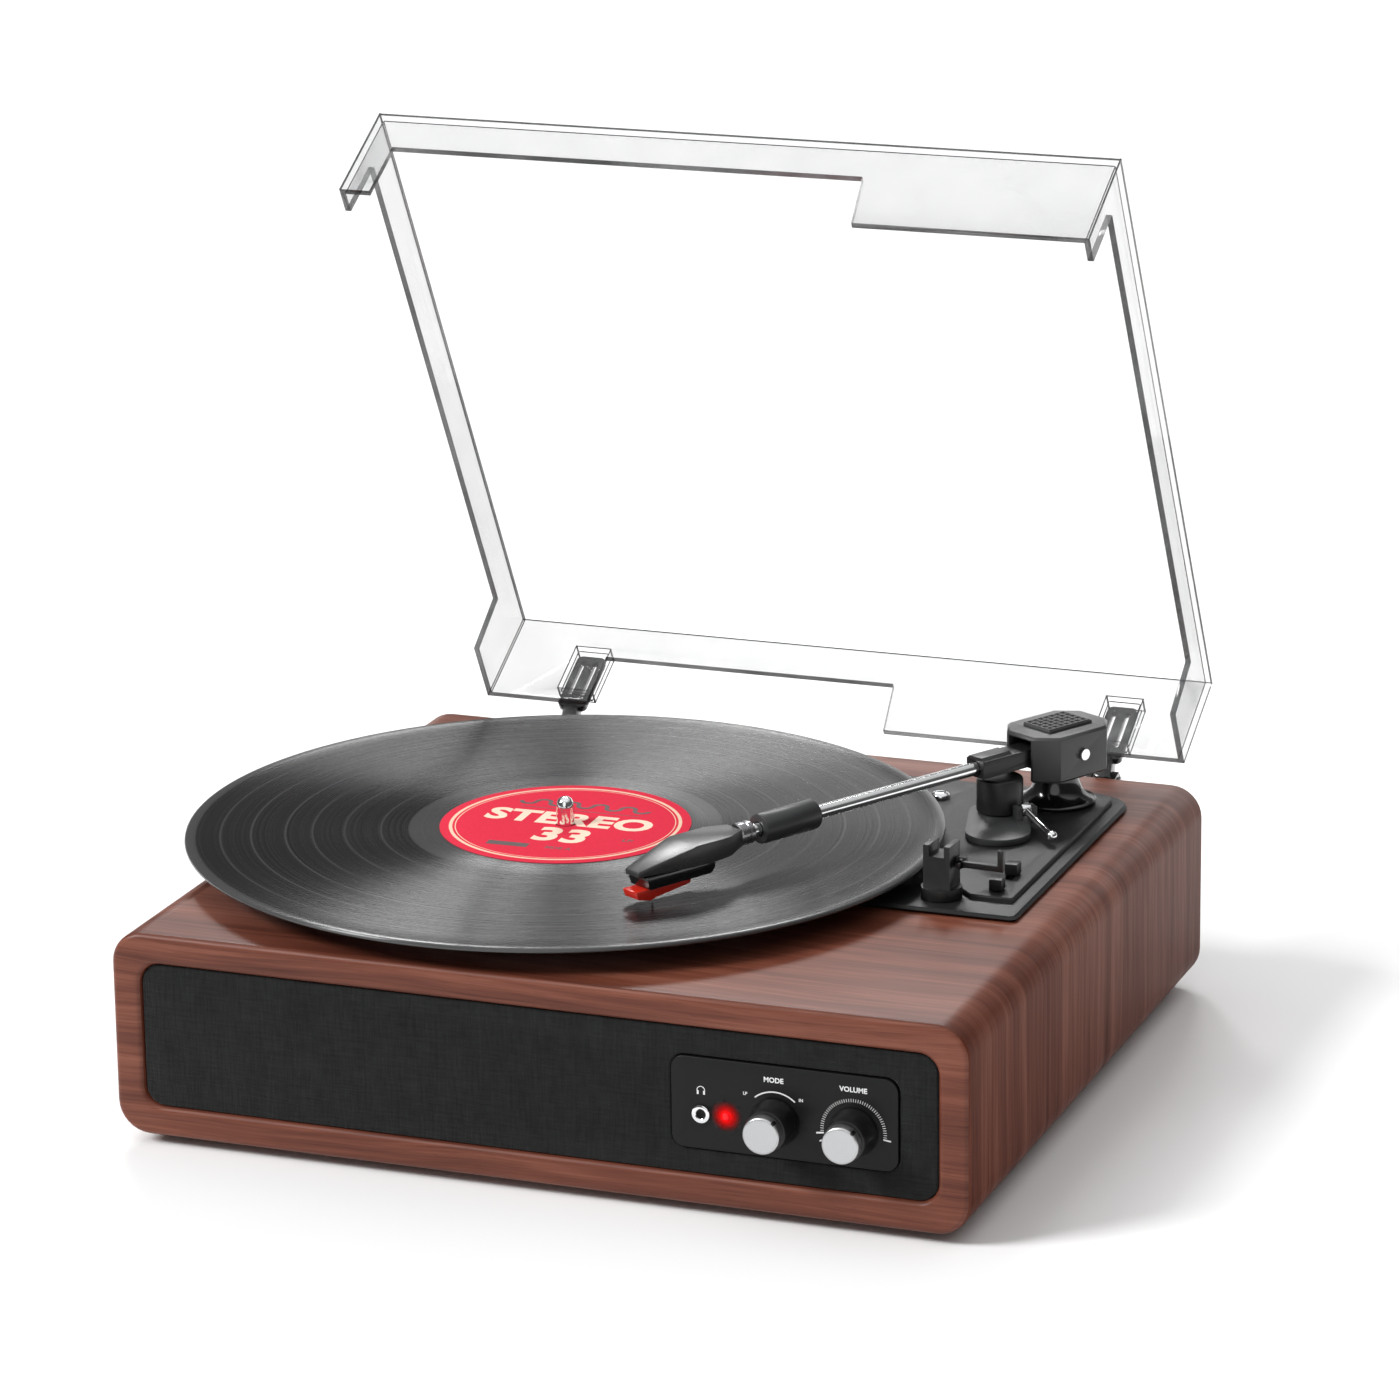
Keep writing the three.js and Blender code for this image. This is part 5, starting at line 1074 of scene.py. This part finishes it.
class MakeStage(bpy.types.Operator):
    """Makes the floor, the lights and the camera"""
    bl_idname = "turntable.stage"
    bl_label = "Stage"

    def execute(self, context):
        scene = bpy.context.scene
        made, tree, shader = finish("studio_floor", Roughness=0.75, Specular_IOR_Level=0.2)
        tone = noise(tree, centred(tree), 3.0, 2)
        feed(tree, shader, Base_Color=mixed(tree, tone, (0.9, 0.9, 0.9, 1), (0.93, 0.93, 0.93, 1)))
        bm = bmesh.new()
        bmesh.ops.create_grid(bm, x_segments=4, y_segments=4, size=12.0)
        mesh = bpy.data.meshes.new("floor")
        bm.to_mesh(mesh)
        bm.free()
        mesh.materials.append(made)
        floor = bpy.data.objects.new("floor", mesh)
        scene.collection.objects.link(floor)

        world = bpy.data.worlds.new("studio")
        world.use_nodes = True
        tree = world.node_tree
        height = parts_of(tree, put(tree, "ShaderNodeTexCoord").outputs["Generated"])[2]
        dome = spread(tree, height, 0.5, 0.86, 0.1, 0.95)
        seen = put(tree, "ShaderNodeLightPath").outputs["Is Camera Ray"]
        tree.links.new(reckon(tree, "MAXIMUM", dome, seen), tree.nodes["Background"].inputs["Strength"])
        tree.nodes["Background"].inputs["Color"].default_value = (1, 1, 1, 1)
        scene.world = world
        scene.view_settings.view_transform = "Standard"

        def light(name, turn, rise, spread_angle, power):
            way = Vector((cos(radians(rise)) * cos(radians(turn)), cos(radians(rise)) * sin(radians(turn)),
                          sin(radians(rise))))
            data = bpy.data.lights.new(name, "SUN")
            data.angle = radians(spread_angle)
            data.energy = power
            lamp = bpy.data.objects.new(name, data)
            lamp.location = way * 3
            lamp.rotation_euler = (-way).to_track_quat("-Z", "Y").to_euler()
            scene.collection.objects.link(lamp)

        light("key", -144, 38, 20, 2.9)
        light("back_left", 120, 38, 10, 0.58)
        light("back_right", 105, 39, 10, 0.5)
        light("front", -80, 22, 40, 0.35)
        data = bpy.data.lights.new("rear_card", "AREA")
        data.shape = "RECTANGLE"
        data.size, data.size_y = 0.7, 0.2
        data.energy = 0.55
        card = bpy.data.objects.new("rear_card", data)
        card.location = (0.06, 0.64, 0.2)
        card.rotation_euler = (-pi / 2, 0, 0)
        card.visible_camera = False
        scene.collection.objects.link(card)

        yaw, pitch, roll = -0.365166, 0.291917, -0.013249
        ahead = Vector((sin(yaw) * cos(pitch), cos(yaw) * cos(pitch), -sin(pitch)))
        data = bpy.data.cameras.new("camera")
        data.sensor_width = 36.0
        data.lens = 150.91
        data.clip_end = 60.0
        camera = bpy.data.objects.new("camera", data)
        camera.location = (0.80919, -2.07539, 0.8141)
        turned = ahead.to_track_quat("-Z", "Y").to_matrix() @ Matrix.Rotation(roll, 3, "Z")
        camera.rotation_euler = turned.to_euler()
        scene.collection.objects.link(camera)
        scene.camera = camera
        return {"FINISHED"}


MAKERS = (MakeFinishes, MakePlinth, MakeGrille, MakeControlPanel, MakeKnobs, MakeDeck, MakePlatter, MakeTonearm,
          MakeArmRest, MakeCover, MakeRear, MakeStage)


class TurntablePanel(bpy.types.Panel):
    """The turntable's settings and pieces"""
    bl_idname = "VIEW3D_PT_turntable"
    bl_label = "Turntable"
    bl_space_type = "VIEW_3D"
    bl_region_type = "UI"
    bl_category = "Turntable"

    def draw(self, context):
        for key in TurntableLook.__annotations__:
            self.layout.prop(context.scene.turntable_look, key)
        for maker in MAKERS:
            self.layout.operator(maker.bl_idname)


def register():
    for item in (TurntableLook, *MAKERS, TurntablePanel):
        bpy.utils.register_class(item)
    bpy.types.Scene.turntable_look = bpy.props.PointerProperty(type=TurntableLook)


def unregister():
    del bpy.types.Scene.turntable_look
    for item in (TurntablePanel, *reversed(MAKERS), TurntableLook):
        bpy.utils.unregister_class(item)


def main():
    register()
    for maker in MAKERS:
        group, name = maker.bl_idname.split(".")
        getattr(getattr(bpy.ops, group), name)()


if __name__ == "__main__":
    main()
